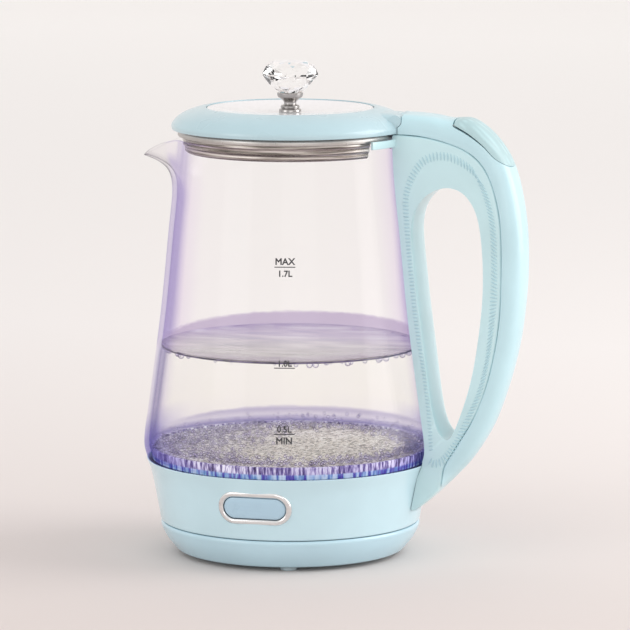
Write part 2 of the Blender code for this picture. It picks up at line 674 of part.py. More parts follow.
def lid_shell():
    """The blue lid with its neck, hinge barrel and the slot for the hinge lug."""
    seat = [(r, disc_height(r) - 1.6) for r in (5.0, DISC_R + GAP)]
    outside = seat + [(DISC_R + GAP, 237.4), (52.0, 236.2), (59.6, 233.0), (LID_R, 228.4),
                      (LID_R - 0.4, LID_EDGE_Z)]
    inside = [(60.2, LID_EDGE_Z), (59.8, 229.4), (54.0, 232.6)]
    inside += [(r, disc_height(r) - 3.6) for r in (DISC_R - 4.0, 5.0)]
    shell = turned("lid_shell", outside + inside, BLUE)
    neck = flat_plate("lid_neck", [[(50.0, 225.8), (50.0, NECK_TOP_Z), (66.0, NECK_TOP_Z),
                                    (66.0, 225.8)]], HANDLE_HALF, None)
    join(shell, neck)
    cut(shell, box("neck_end", (LID_REAR_X, -40.0, 220.0), (80.0, 40.0, 240.0), None))
    x, z = HINGE
    join(shell, rod("hinge_barrel", (x, -12.4, z), (x, 12.4, z), BARREL_R, None, 32))
    cut(shell, box("lug_slot", (56.0, -4.2, 220.0), (70.0, 4.2, 234.4), None),
        rod("hinge_bore", (x, -11.3, z), (x, 11.3, z), HINGE_PIN_R + GAP, None, 16),
        turned("plug_room", [(0.0, 231.0), (59.4, 231.0), (59.4, 222.0), (0.0, 222.0)], None))
    hang_on_lid_pivot(shell)


def hang_on_lid_pivot(piece):
    """Parent a piece of the lid to an empty on the hinge line, which is made the first time."""
    pivot = bpy.data.objects.get("lid_pivot")
    if pivot is None:
        pivot = bpy.data.objects.new("lid_pivot", None)
        pivot.location = (HINGE[0] * MM, 0.0, HINGE[1] * MM)
        PARTS.objects.link(pivot)
    piece.parent = pivot
    piece.matrix_parent_inverse = Matrix.Translation(pivot.location).inverted()


def lid_inside():
    """The white disc, the plug under the lid and its seal."""
    top = [(r, disc_height(r)) for r in (2.6, DISC_R)]
    bottom = [(r, z - 1.2) for r, z in reversed(top)]
    hang_on_lid_pivot(turned("lid_disc", top + bottom, WHITE))
    plug = [(0.0, 228.8), (5.0, 228.8), (5.0, 215.6), (53.2, 215.6), (55.8, 228.8), (57.6, 228.8),
            (59.4, 223.6), (59.4, 221.6), (56.0, 221.6), (55.4, 219.0), (54.6, 214.0), (0.0, 214.0)]
    hang_on_lid_pivot(turned("lid_inner_cover", plug, GREY))
    seal = [(56.2, 221.3), (56.9, 221.3), (56.7, 219.6), (56.0, 219.6)]
    hang_on_lid_pivot(turned("lid_seal", seal, SILICONE))


def knob():
    """The chrome stem, the cut crystal on it and the screw that holds them."""
    stem = [(2.0, 244.4), (6.9, 244.6), (6.7, 243.2), (4.6, 241.4), (3.4, 239.9), (3.4, 238.0),
            (5.3, 237.6), (5.3, 236.4), (5.9, 236.2), (5.9, 235.0), (2.0, 235.0)]
    hang_on_lid_pivot(turned("knob_stem", stem, CHROME, 20))
    crystal = [(0.0, 261.5), (9.5, 261.5), (14.2, 256.4), (15.0, 254.4), (14.4, 252.8),
               (6.6, 245.0), (0.0, 244.9)]
    hang_on_lid_pivot(turned("knob_crystal", crystal, CRYSTAL, 16))
    bolt = [(0.0, 243.8), (1.6, 243.8), (1.6, 230.7), (3.6, 230.7), (3.6, 229.6), (0.0, 229.6)]
    hang_on_lid_pivot(turned("knob_screw", bolt, STEEL, SMALL_STEPS))


def hinge():
    """The lug that reaches from the handle into the lid's neck, and the hinge pin."""
    x, z = HINGE
    lug = box("lid_hinge_bracket", (59.2, -LUG_HALF, 228.6), (76.0, LUG_HALF, 230.4), STEEL)
    join(lug, box("lug_upright", (59.3, 0.2 - LUG_HALF, 229.0), (61.7, LUG_HALF - 0.2, z), None),
         rod("lug_eye", (x, 0.4 - LUG_HALF, z), (x, LUG_HALF - 0.4, z), EYE_R, None, 16))
    cut(lug, rod("eye_bore", (x, -6.0, z), (x, 6.0, z), HINGE_PIN_R + GAP, None, 16))
    rod("lid_hinge_pin", (x, -11.0, z), (x, 11.0, z), HINGE_PIN_R, STEEL, 16)


def build():
    """Make every part."""
    base_shell()
    base_bottom_cover()
    base_feet()
    base_connector()
    glass_jug()
    heater()
    jug_control()
    collar()
    led_ring()
    switch_bezel()
    switch_button()
    switch_link()
    handle_body()
    handle_back_cover()
    release_button()
    latch()
    steam_tube()
    handle_screws()
    lid_shell()
    lid_inside()
    knob()
    hinge()
    bpy.context.view_layer.update()


build()
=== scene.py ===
"""Looks of the electric kettle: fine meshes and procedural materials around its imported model.

Frame: metres, +Z up, the jug's axis on Z, handle at +X, spout at -X, switch at -Y.  Outlines in
this file are in millimetres, and mesh_object turns them into metres.
"""
import math
import random

import bmesh
import bpy
from mathutils import Matrix, Vector


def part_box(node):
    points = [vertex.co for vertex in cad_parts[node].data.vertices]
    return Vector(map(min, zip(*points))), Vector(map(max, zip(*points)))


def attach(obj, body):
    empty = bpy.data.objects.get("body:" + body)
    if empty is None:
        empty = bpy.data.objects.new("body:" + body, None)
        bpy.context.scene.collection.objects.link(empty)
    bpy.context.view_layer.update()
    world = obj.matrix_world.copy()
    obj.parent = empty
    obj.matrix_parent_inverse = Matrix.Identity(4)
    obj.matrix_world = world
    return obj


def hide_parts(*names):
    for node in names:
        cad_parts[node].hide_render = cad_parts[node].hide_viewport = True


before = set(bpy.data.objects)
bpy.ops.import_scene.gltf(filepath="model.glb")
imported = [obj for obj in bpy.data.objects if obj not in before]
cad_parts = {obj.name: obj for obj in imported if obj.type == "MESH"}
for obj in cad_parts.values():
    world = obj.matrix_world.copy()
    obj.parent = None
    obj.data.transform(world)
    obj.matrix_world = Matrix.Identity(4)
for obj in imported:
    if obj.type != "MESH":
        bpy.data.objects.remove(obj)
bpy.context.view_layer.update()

MM = 0.001
GAP = 0.3
ROUND = 160

# Heights and radii shared by several pieces
PLATE_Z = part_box("heater_plate")[1].z / MM
WATER_Z = 111.3
RIM_Z = 221.0
GLASS_THICKNESS = 2.6
HANDLE_HALF = 13.0
HINGE = (60.6, 232.6)
LID_REAR_X = 61.4
DISC_R = 44.0
SWITCH_CENTRE = (1.0, 35.2)

# Where the jug's outside runs: (radius, height)
COLLAR_OUTSIDE = [(68.9, 18.4), (71.0, 29.7), (73.8, 44.3), (76.4, 51.0)]
GLASS_OUTSIDE = [(72.2, 45.0), (76.7, 53.7), (77.5, 63.0), (74.6, 84.0), (68.5, 129.6),
                 (64.3, 171.7), (62.4, 189.0), (60.9, 205.0), (60.4, 214.0), (60.2, RIM_Z)]

# Spout: how far it is drawn out and lowered, and where it starts
SPOUT_REACH = 21.5
SPOUT_DROP = 11.3
SPOUT_HALF_DEG = 30.0
SPOUT_START_Z = 186.0

# Camera: focal length in millimetres, and where it stands and points in metres
LENS = 261.5
CAMERA_PLACE = (0.66607, -2.30576, 0.4746)
CAMERA_AIM = (0.0126, 0.00356, 0.1266)

# Where round the jug the level marks are printed
MARKS_AT_DEG = -90.0 + 13.7


def srgb(red, green, blue):
    """Linear colour from 8-bit display values."""
    return tuple(((v / 255.0 + 0.055) / 1.055) ** 2.4 for v in (red, green, blue))


# --- Curves and outlines ----------------------------------------------------------------------

def smooth(points, steps):
    """Run a Catmull-Rom curve through the points, with steps samples a span."""
    ends = [points[0]] + list(points) + [points[-1]]
    samples = []
    for a, b, c, d in zip(ends, ends[1:], ends[2:], ends[3:]):
        for i in range(steps):
            t = i / steps
            samples.append(tuple(
                0.5 * (2 * q + (r - p) * t + (2 * p - 5 * q + 4 * r - s) * t ** 2
                       + (3 * q - p - 3 * r + s) * t ** 3)
                for p, q, r, s in zip(a, b, c, d)))
    samples.append(tuple(points[-1]))
    return samples


def smooth_loop(points, steps):
    """Run a closed Catmull-Rom curve through the points."""
    count = len(points)
    ring = [points[-1]] + list(points) + [points[0], points[1]]
    return smooth(ring, steps)[steps:steps * (count + 1)]


def softened(corners, steps=5):
    """Round the corners of a closed outline: each corner is (r, z) or (r, z, setback)."""
    outline = []
    count = len(corners)
    for i, corner in enumerate(corners):
        here = Vector(corner[:2])
        if len(corner) == 2:
            outline.append(tuple(here))
            continue
        before = Vector(corners[i - 1][:2]) - here
        after = Vector(corners[(i + 1) % count][:2]) - here
        start = here + before.normalized() * corner[2]
        end = here + after.normalized() * corner[2]
        for k in range(steps + 1):
            t = k / steps
            outline.append(tuple(start * (1 - t) ** 2 + here * 2 * t * (1 - t) + end * t ** 2))
    return outline


def stadium(centre, size, steps=24):
    """Outline of a bar with round ends in XZ."""
    radius = size[1] / 2.0
    reach = size[0] / 2.0 - radius
    loop = []
    for side, start in ((1.0, -90.0), (-1.0, 90.0)):
        for i in range(steps + 1):
            turn = math.radians(start + 180.0 * i / steps)
            loop.append((centre[0] + side * reach + radius * math.cos(turn),
                         centre[1] + radius * math.sin(turn)))
    return loop


def polar(radius, turn):
    """The (x, y) of a point on a circle."""
    return radius * math.cos(turn), radius * math.sin(turn)


def radius_at(outside, z):
    """Radius of an outline at a height, between its points."""
    for (r0, z0), (r1, z1) in zip(outside, outside[1:]):
        if z0 <= z <= z1:
            return r0 + (r1 - r0) * (z - z0) / (z1 - z0)
    return outside[-1][0]


def resampled(points, pitch):
    """Points at an even pitch along a line in the first two coordinates, the rest carried along."""
    even = [points[0]]
    left = pitch
    for a, b in zip(points, points[1:]):
        length = math.dist(a[:2], b[:2])
        while left < length:
            even.append(tuple(p + (q - p) * left / length for p, q in zip(a, b)))
            left += pitch
        left -= length
    return even


# --- Meshes -----------------------------------------------------------------------------------

def linked(name, data):
    """A new object with this data, linked into the scene."""
    made = bpy.data.objects.new(name, data)
    bpy.context.scene.collection.objects.link(made)
    return made


def final_mesh(made):
    """The object's mesh with its modifiers or curve settings applied."""
    bpy.context.view_layer.update()
    evaluated = made.evaluated_get(bpy.context.evaluated_depsgraph_get())
    return bpy.data.meshes.new_from_object(evaluated)


def mesh_object(name, bm):
    """Turn a bmesh in millimetres into a linked object in metres."""
    bmesh.ops.remove_doubles(bm, verts=bm.verts, dist=0.002)
    bmesh.ops.recalc_face_normals(bm, faces=bm.faces)
    bmesh.ops.scale(bm, vec=(MM, MM, MM), verts=bm.verts)
    mesh = bpy.data.meshes.new(name)
    bm.to_mesh(mesh)
    bm.free()
    return linked(name, mesh)


def turned(name, outline, centre=(0.0, 0.0), steps=ROUND, arc=(0.0, 360.0)):
    """Turn a closed (radius, height) outline about Z; an arc under a full turn gets end faces."""
    bm = bmesh.new()
    whole = arc[1] - arc[0] >= 360.0
    rings = []
    for i in range(steps if whole else steps + 1):
        turn = math.radians(arc[0] + (arc[1] - arc[0]) * i / steps)
        rings.append([bm.verts.new((centre[0] + r * math.cos(turn), centre[1] + r * math.sin(turn), z))
                      for r, z in outline])
    pairs = list(zip(rings, rings[1:])) + ([(rings[-1], rings[0])] if whole else [])
    count = len(outline)
    for ring, following in pairs:
        for k in range(count):
            m = (k + 1) % count
            if outline[k][0] < 0.001 and outline[m][0] < 0.001:
                continue
            bm.faces.new((ring[k], ring[m], following[m], following[k]))
    if not whole:
        bm.faces.new(rings[0])
        bm.faces.new(rings[-1])
    bmesh.ops.dissolve_degenerate(bm, edges=bm.edges, dist=0.0001)
    return mesh_object(name, bm)


def lofted(name, rings, endless=False):
    """Join rings of as many points into a closed body, with end faces or back to the first ring."""
    bm = bmesh.new()
    loops = [[bm.verts.new(point) for point in ring] for ring in rings]
    for loop, following in zip(loops, loops[1:] + (loops[:1] if endless else [])):
        for k in range(len(loop)):
            m = (k + 1) % len(loop)
            bm.faces.new((loop[k], loop[m], following[m], following[k]))
    if not endless:
        bm.faces.new(loops[0])
        bm.faces.new(loops[-1])
    return mesh_object(name, bm)


def flat_plate(name, loops, half, edge=0.0, rounds=3):
    """Extrude closed XZ outlines by half a width each way along Y, with rounded edges."""
    curve = bpy.data.curves.new(name, "CURVE")
    curve.dimensions = "2D"
    curve.fill_mode = "BOTH"
    curve.extrude = (half - edge) * MM
    curve.bevel_depth = edge * MM
    curve.bevel_resolution = rounds
    curve.offset = -edge * MM
    for loop in loops:
        spline = curve.splines.new("POLY")
        spline.points.add(len(loop) - 1)
        spline.use_cyclic_u = True
        for point, (x, z) in zip(spline.points, loop):
            point.co = (x * MM, z * MM, 0.0, 1.0)
    guide = bpy.data.objects.new(name, curve)
    guide.rotation_euler = (math.radians(90.0), 0.0, 0.0)
    return from_curve(name, guide)


def from_curve(name, guide):
    """Make a welded mesh object from a curve or text object, and remove the guide."""
    bpy.context.scene.collection.objects.link(guide)
    mesh = final_mesh(guide)
    mesh.transform(guide.matrix_world)
    mesh.materials.clear()
    bpy.data.objects.remove(guide)
    bm = bmesh.new()
    bm.from_mesh(mesh)
    bmesh.ops.remove_doubles(bm, verts=bm.verts, dist=0.000002)
    bmesh.ops.recalc_face_normals(bm, faces=bm.faces)
    bm.to_mesh(mesh)
    bm.free()
    return linked(name, mesh)


def scattered(name, template, places):
    """Copies of one closed template mesh, each placed by a matrix, as one mesh."""
    verts = [vert.co.copy() for vert in template.verts]
    faces = [[vert.index for vert in face.verts] for face in template.faces]
    template.free()
    points = [matrix @ co * MM for matrix in places for co in verts]
    count = len(verts)
    loops = [[i * count + k for k in face] for i in range(len(places)) for face in faces]
    mesh = bpy.data.meshes.new(name)
    mesh.from_pydata(points, [], loops)
    return linked(name, mesh)


def ball(detail):
    """A unit sphere to scatter."""
    template = bmesh.new()
    bmesh.ops.create_icosphere(template, subdivisions=detail, radius=1.0)
    template.verts.index_update()
    return template


def slab(name, low, high):
    """A plain box, used as a cutter."""
    bm = bmesh.new()
    bmesh.ops.create_cube(bm, size=1.0)
    bmesh.ops.scale(bm, vec=Vector(high) - Vector(low), verts=bm.verts)
    bmesh.ops.translate(bm, vec=(Vector(high) + Vector(low)) / 2.0, verts=bm.verts)
    return mesh_object(name, bm)


def rod(name, start, end, radius, steps=48):
    """A round rod between two points."""
    axis = Vector(end) - Vector(start)
    turn = axis.to_track_quat("Z", "Y").to_matrix().to_4x4()
    bm = bmesh.new()
    bmesh.ops.create_cone(bm, cap_ends=True, segments=steps, radius1=radius, radius2=radius,
                          depth=axis.length,
                          matrix=Matrix.Translation((Vector(end) + Vector(start)) / 2.0) @ turn)
    return mesh_object(name, bm)


def combined(target, operation, *tools):
    """Apply tools to the target with Booleans, keep the result as its mesh and remove the tools."""
    for tool in tools:
        step = target.modifiers.new(operation.lower(), "BOOLEAN")
        step.operation = operation
        step.object = tool
    mesh = final_mesh(target)
    target.modifiers.clear()
    target.data = mesh
    for tool in tools:
        bpy.data.objects.remove(tool)
    return target


def cut(target, *tools):
    """Take the tools out of the target."""
    return combined(target, "DIFFERENCE", *tools)


def piece(made, body, finish, replaced=(), crease=32.0):
    """Give a mesh its finish, smooth shading and body, and hide the CAD nodes it stands for."""
    made.data.materials.clear()
    made.data.materials.append(finish)
    if crease:
        made.data.shade_smooth()
        made.data.set_sharp_from_angle(angle=math.radians(crease))
    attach(made, body)
    if replaced:
        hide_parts(*replaced)
    return made


# --- Materials --------------------------------------------------------------------------------

class Finish:
    """A material with a Principled shader, and short ways to add and link nodes."""

    def __init__(self, name, colour, roughness, metallic=0.0, **sockets):
        self.material = bpy.data.materials.new(name)
        self.material.use_nodes = True
        self.tree = self.material.node_tree
        self.shader = self.tree.nodes["Principled BSDF"]
        self.shader.inputs["Base Color"].default_value = (*colour, 1.0)
        self.shader.inputs["Roughness"].default_value = roughness
        self.shader.inputs["Metallic"].default_value = metallic
        for key, value in sockets.items():
            self.shader.inputs[key.replace("_", " ")].default_value = value
        self.place = self.add("ShaderNodeTexCoord").outputs["Object"]

    def add(self, kind, modes=(), **inputs):
        """Add a node, set its modes, and set or link its inputs."""
        node = self.tree.nodes.new(kind)
        for key, value in dict(modes).items():
            setattr(node, key, value)
        for key, value in inputs.items():
            self.feed(node.inputs[key.replace("_", " ")], value)
        return node

    def feed(self, socket, value):
        """Link a socket to another, or set its value."""
        if isinstance(value, bpy.types.NodeSocket):
            self.tree.links.new(value, socket)
        else:
            socket.default_value = value

    def noise(self, size, detail=2.0, stretch=(1.0, 1.0, 1.0), roughness=0.5):
        """Noise whose features are about size millimetres, stretched along the axes."""
        place = self.add("ShaderNodeMapping", Vector=self.place,
                         Scale=tuple(1.0 / s for s in stretch)).outputs["Vector"]
        return self.add("ShaderNodeTexNoise", Vector=place, Scale=1.0 / (size * MM),
                        Detail=detail, Roughness=roughness).outputs["Fac"]

    def cells(self, size, feature="F1", output="Distance"):
        """Voronoi cells about size millimetres across."""
        return self.add("ShaderNodeTexVoronoi", {"feature": feature}, Vector=self.place,
                        Scale=1.0 / (size * MM)).outputs[output]

    def spread(self, value, low, high, to_low=0.0, to_high=1.0):
        """Map a value's range onto another, and clamp it."""
        return self.add("ShaderNodeMapRange", Value=value, From_Min=low, From_Max=high,
                        To_Min=to_low, To_Max=to_high).outputs["Result"]

    def swing(self, value, to_low=0.0, to_high=1.0):
        """Map the range that noise keeps to onto another."""
        return self.spread(value, 0.3, 0.7, to_low, to_high)

    def ramp(self, value, *stops):
        """Colours along a value: each stop is (place, colour)."""
        node = self.add("ShaderNodeValToRGB", Fac=value)
        marks = node.color_ramp.elements
        while len(marks) < len(stops):
            marks.new(0.5)
        for mark, (place, colour) in zip(marks, stops):
            mark.position = place
            mark.color = (*colour, 1.0)
        return node.outputs["Color"]

    def mixed(self, factor, first, second):
        """Mix two colours."""
        node = self.add("ShaderNodeMix", {"data_type": "RGBA"})
        self.feed(node.inputs[0], factor)
        for socket, value in ((node.inputs[6], first), (node.inputs[7], second)):
            self.feed(socket, (*value, 1.0) if isinstance(value, tuple) else value)
        return node.outputs[2]

    def maths(self, operation, first, second):
        """Combine two values."""
        node = self.add("ShaderNodeMath", {"operation": operation})
        self.feed(node.inputs[0], first)
        self.feed(node.inputs[1], second)
        return node.outputs[0]

    def colour(self, value):
        """Colour the shader from a socket."""
        self.feed(self.shader.inputs["Base Color"], value)

    def rough(self, value):
        """Set the shader's roughness from a socket."""
        self.feed(self.shader.inputs["Roughness"], value)

    def bump(self, value, depth, strength=1.0):
        """Raise the surface where the value is high, by up to depth millimetres."""
        normal = self.add("ShaderNodeBump", Strength=strength, Distance=depth * MM,
                          Height=value).outputs["Normal"]
        self.feed(self.shader.inputs["Normal"], normal)

    def see_through(self, tint, gloss):
        """Let light straight through, tinted, with a mirror reflection of the given share."""
        clear = self.add("ShaderNodeBsdfTransparent", Color=tint).outputs[0]
        shine = self.add("ShaderNodeBsdfGlossy", Color=(1.0, 1.0, 1.0, 1.0), Roughness=0.03).outputs[0]
        mix = self.add("ShaderNodeMixShader", Fac=gloss)
        self.feed(mix.inputs[1], clear)
        self.feed(mix.inputs[2], shine)
        self.feed(self.tree.nodes["Material Output"].inputs["Surface"], mix.outputs[0])
        return mix

    def facing(self):
        """0 where the surface faces the viewer, 1 along its outline."""
        return self.add("ShaderNodeLayerWeight", Blend=0.5).outputs["Facing"]

    def sheen(self, least, most, power=3.0):
        """Share of light that a clear surface mirrors: little face on, more along its outline."""
        return self.spread(self.maths("POWER", self.facing(), power), 0.0, 1.0, least, most)

    def axis(self, letter):
        """One coordinate of the surface point, in millimetres."""
        value = self.add("ShaderNodeSeparateXYZ", Vector=self.place).outputs[letter]
        return self.maths("DIVIDE", value, MM)

    def painted_back_band(self, level, rise):
        """1 on the back wall from a level up to an arched line, rise above it in the middle: the mask for
        the jug's bands of painted shade and glow.
        """
        arch = self.maths("POWER", self.spread(self.axis("Y"), 0.0, 68.0), 0.5)
        over = self.maths("SUBTRACT", self.axis("Z"), level)
        past = self.maths("SUBTRACT", over, self.maths("MULTIPLY", arch, rise))
        wave = self.swing(self.noise(4.0, 3.0), -0.5, 0.5)
        under = self.spread(self.maths("ADD", past, wave), -1.0, 0.3, 1.0, 0.0)
        return self.maths("MULTIPLY", self.spread(over, -0.2, 0.4), under)


def moulded_plastic(name, colour, roughness=0.28, grain=0.9):
    """Glossy moulded plastic: slow colour drift, fine grain and a soft change of gloss."""
    finish = Finish(name, colour, roughness, Coat_Weight=0.35, Coat_Roughness=0.08)
    drift = finish.swing(finish.noise(38.0, 3.0))
    darker = tuple(0.95 * c for c in colour)
    lighter = tuple(min(1.0, 1.03 * c) for c in colour)
    finish.colour(finish.mixed(drift, darker, lighter))
    finish.rough(finish.swing(finish.noise(14.0, 2.0), roughness - 0.015, roughness + 0.025))
    finish.bump(finish.noise(grain, 2.0), 0.006, 0.4)
    return finish.material


def grip_plastic(name, colour):
    """Moulded plastic with a fine crossed pattern for the thumb, darker in the pattern's grooves: painted
    shade.
    """
    finish = Finish(name, colour, 0.36)
    lines = [finish.add("ShaderNodeTexWave", {"bands_direction": "DIAGONAL"},
                        Vector=finish.add("ShaderNodeMapping", Vector=finish.place,
                                          Scale=(1.0, side, 1.0)).outputs["Vector"],
                        Scale=120.0, Distortion=0.6).outputs["Fac"] for side in (1.0, -1.0)]
    cross = finish.maths("MULTIPLY", *lines)
    # Darker where the crossed pattern is low: painted shade in its grooves.
    finish.colour(finish.mixed(cross, tuple(0.86 * c for c in colour), colour))
    finish.bump(cross, 0.12, 0.6)
    return finish.material


def white_gloss(name, colour):
    """Polished white plastic."""
    finish = Finish(name, colour, 0.12, Coat_Weight=0.6, Coat_Roughness=0.04)
    drift = finish.swing(finish.noise(30.0, 3.0))
    finish.colour(finish.mixed(drift, tuple(0.96 * c for c in colour), colour))
    finish.rough(finish.swing(finish.noise(16.0, 2.0), 0.12, 0.15))
    finish.bump(finish.noise(2.0), 0.004, 0.3)
    return finish.material


def polished_metal(name, colour, roughness=0.08):
    """Plated metal with faint wipe marks and a slightly uneven gloss."""
    finish = Finish(name, colour, roughness, 1.0)
    wipe = finish.noise(1.6, 4.0, (6.0, 6.0, 1.0))
    finish.colour(finish.mixed(finish.spread(wipe, 0.35, 0.65), tuple(0.9 * c for c in colour), colour))
    finish.rough(finish.swing(wipe, roughness, roughness + 0.07))
    finish.bump(wipe, 0.002, 0.2)
    return finish.material


def rough_metal(name, colour, roughness=0.34):
    """Drawn or pressed metal with grain and small dull spots."""
    finish = Finish(name, colour, roughness, 1.0)
    grain = finish.noise(0.6, 4.0, (1.0, 1.0, 5.0))
    spots = finish.spread(finish.cells(3.0), 0.1, 0.6)
    shade = finish.mixed(grain, tuple(0.72 * c for c in colour), colour)
    finish.colour(finish.mixed(finish.maths("MULTIPLY", spots, 0.3), shade, colour))
    finish.rough(finish.swing(grain, roughness - 0.08, roughness + 0.12))
    finish.bump(grain, 0.02, 0.5)
    return finish.material


def matt_plastic(name, colour, roughness=0.5, grain=0.8):
    """Textured engineering plastic, rubber or silicone."""
    finish = Finish(name, colour, roughness)
    mottle = finish.swing(finish.noise(5.0, 4.0))
    finish.colour(finish.mixed(mottle, tuple(0.82 * c for c in colour), colour))
    finish.rough(finish.swing(finish.noise(2.0, 3.0), roughness - 0.08, roughness + 0.1))
    finish.bump(finish.noise(grain, 3.0), 0.03, 0.6)
    return finish.material


def circuit_board(name):
    """Green board with copper tracks."""
    finish = Finish(name, (0.03, 0.16, 0.08), 0.35)
    tracks = finish.add("ShaderNodeTexBrick", Vector=finish.place, Scale=260.0,
                        Mortar_Size=0.03).outputs["Fac"]
    finish.colour(finish.mixed(tracks, (0.03, 0.16, 0.08), (0.30, 0.20, 0.06)))
    finish.bump(tracks, 0.03, 0.5)
    return finish.material


def lamp_lens(name):
    """Diffusing lens of a violet lamp."""
    finish = Finish(name, srgb(150, 130, 230), 0.25, Emission_Strength=0.8)
    glow = finish.ramp(finish.swing(finish.noise(1.2)), (0.0, srgb(110, 90, 220)),
                       (1.0, srgb(200, 190, 250)))
    finish.feed(finish.shader.inputs["Emission Color"], glow)
    finish.bump(finish.noise(0.4), 0.02, 0.5)
    return finish.material


def jug_glass(name):
    """Clear glass, lilac where it is seen along its wall, with painted shade and light in its tint: dark
    bands inside its outline, a dark outline on the spout and a darker band just above the water at the back
    are painted shade, and violet towards the outline low down and violet bands low down at the back are
    painted glow of the lamps under the plate.
    """
    finish = Finish(name, srgb(228, 220, 238), 0.03)
    streaks = finish.noise(14.0, 3.0, (1.0, 1.0, 9.0))
    side = finish.maths("ADD", finish.facing(), finish.swing(streaks, -0.02, 0.02))
    z = finish.axis("Z")
    # Above the water: lilac towards the outline, with a darker dip near 0.68 that is painted shade, the dark
    # band that refraction gives inside the glass's edge.
    dry = finish.ramp(side, (0.0, (1.0, 1.0, 1.0)), (0.32, (0.999, 0.997, 1.0)),
                      (0.52, (0.982, 0.966, 0.993)), (0.68, (0.80, 0.765, 0.905)),
                      (0.80, (0.85, 0.82, 0.93)), (1.0, (0.76, 0.73, 0.87)))
    # Below the water: a darker dip near 0.74, painted shade inside the wet glass's edge.
    wet = finish.ramp(side, (0.0, (1.0, 1.0, 1.0)), (0.52, (0.998, 0.998, 0.998)),
                      (0.64, (0.94, 0.93, 0.97)), (0.74, (0.66, 0.64, 0.78)),
                      (0.83, (0.86, 0.85, 0.93)), (1.0, (0.95, 0.93, 0.97)))
    # Low down: violet towards the outline, painted glow of the lamps under the plate.
    low = finish.ramp(side, (0.0, (1.0, 1.0, 1.0)), (0.30, (0.97, 0.965, 0.995)),
                      (0.50, (0.80, 0.78, 0.94)), (0.70, (0.52, 0.50, 0.78)),
                      (1.0, (0.70, 0.68, 0.88)))
    # The spout: darkening to its outline, painted shade along the lip.
    spout = finish.ramp(side, (0.0, (1.0, 0.999, 1.0)), (0.60, (0.98, 0.975, 0.98)),
                        (0.80, (0.84, 0.83, 0.85)), (0.91, (0.50, 0.48, 0.52)), (1.0, (0.36, 0.34, 0.39)))
    tint = finish.mixed(finish.spread(z, WATER_Z + 1.0, WATER_Z - 1.0), dry, wet)
    tint = finish.mixed(finish.spread(z, 74.0, 58.0), tint, low)
    tint = finish.mixed(finish.spread(finish.axis("X"), -60.0, -64.0), tint,
                        finish.mixed(finish.spread(z, 188.0, 202.0), tint, spout))
    # A darker lilac band on the back wall just above the water: painted shade.
    tint = finish.mixed(finish.painted_back_band(WATER_Z, 8.0), tint, (0.80, 0.75, 0.86))
    # Violet bands on the back wall just above the plate: painted glow of the lamps under the plate.
    above = finish.maths("SUBTRACT", z, PLATE_Z)
    violet = finish.ramp(finish.spread(above, 0.0, 9.0), (0.0, (0.46, 0.44, 0.68)),
                         (0.16, (0.66, 0.64, 0.82)), (0.45, (0.87, 0.86, 0.94)),
                         (0.75, (0.76, 0.74, 0.87)), (1.0, (0.93, 0.92, 0.97)))
    tint = finish.mixed(finish.painted_back_band(PLATE_Z, 9.0), tint, violet)
    finish.see_through(tint, finish.sheen(0.006, 0.10))
    return finish.material


def water_body(name):
    """Still water seen through the jug's side: almost clear and faintly warm."""
    finish = Finish(name, srgb(246, 244, 236), 0.02)
    waves = finish.swing(finish.noise(22.0, 3.0, (1.0, 1.0, 3.0)))
    finish.see_through(finish.mixed(waves, (0.995, 0.997, 0.980), (1.0, 1.0, 0.998)),
                       finish.sheen(0.0, 0.06))
    return finish.material


def painted_waterline_shade(name):
    """Painted shade: the dark line where the water's surface meets the glass, a colour that stands in for
    the shade along the water's edge.
    """
    finish = Finish(name, srgb(60, 50, 84), 0.15, Coat_Weight=0.5)
    breaks = finish.noise(5.0, 3.0)
    finish.colour(finish.ramp(finish.spread(breaks, 0.35, 0.65), (0.0, srgb(24, 18, 44)),
                              (1.0, srgb(110, 96, 136))))
    finish.feed(finish.shader.inputs["Alpha"], finish.swing(breaks, 1.0, 0.7))
    finish.bump(breaks, 0.1, 0.4)
    return finish.material


def water_top(name):
    """The water's upper surface, coloured by painted reflection: lilac towards the back, greyer towards the
    front, with small ripples.
    """
    finish = Finish(name, srgb(202, 190, 208), 0.12, Specular_IOR_Level=0.12)
    ripples = finish.noise(9.0, 4.0, (3.0, 1.0, 1.0))
    # Painted reflection: lilac towards the back, greyer towards the front.
    far = finish.ramp(finish.swing(ripples), (0.0, srgb(164, 148, 184)),
                      (0.5, srgb(186, 172, 200)), (1.0, srgb(214, 204, 224)))
    near = finish.ramp(finish.swing(ripples), (0.0, srgb(136, 126, 130)),
                       (0.5, srgb(158, 148, 150)), (1.0, srgb(186, 176, 180)))
    finish.colour(finish.mixed(finish.spread(finish.axis("Y"), -50.0, 30.0), near, far))
    finish.feed(finish.shader.inputs["Alpha"], finish.swing(ripples, 0.84, 0.72))
    finish.bump(ripples, 0.1, 0.2)
    return finish.material


def bubble_skin(name):
    """Air bubbles in water: a clear middle and a dark violet outline of painted shade, the dark rim that
    refraction gives a bubble.
    """
    finish = Finish(name, srgb(235, 230, 245), 0.03)
    drift = finish.swing(finish.noise(4.0), -0.05, 0.05)
    # Darker and more violet towards the outline: painted shade of the bubble's rim.
    tint = finish.ramp(finish.maths("ADD", finish.facing(), drift), (0.0, (0.99, 0.99, 1.0)),
                       (0.35, (0.90, 0.87, 0.96)), (0.60, (0.36, 0.31, 0.54)),
                       (1.0, (0.12, 0.08, 0.24)))
    finish.see_through(tint, finish.sheen(0.10, 0.5, 2.0))
    return finish.material


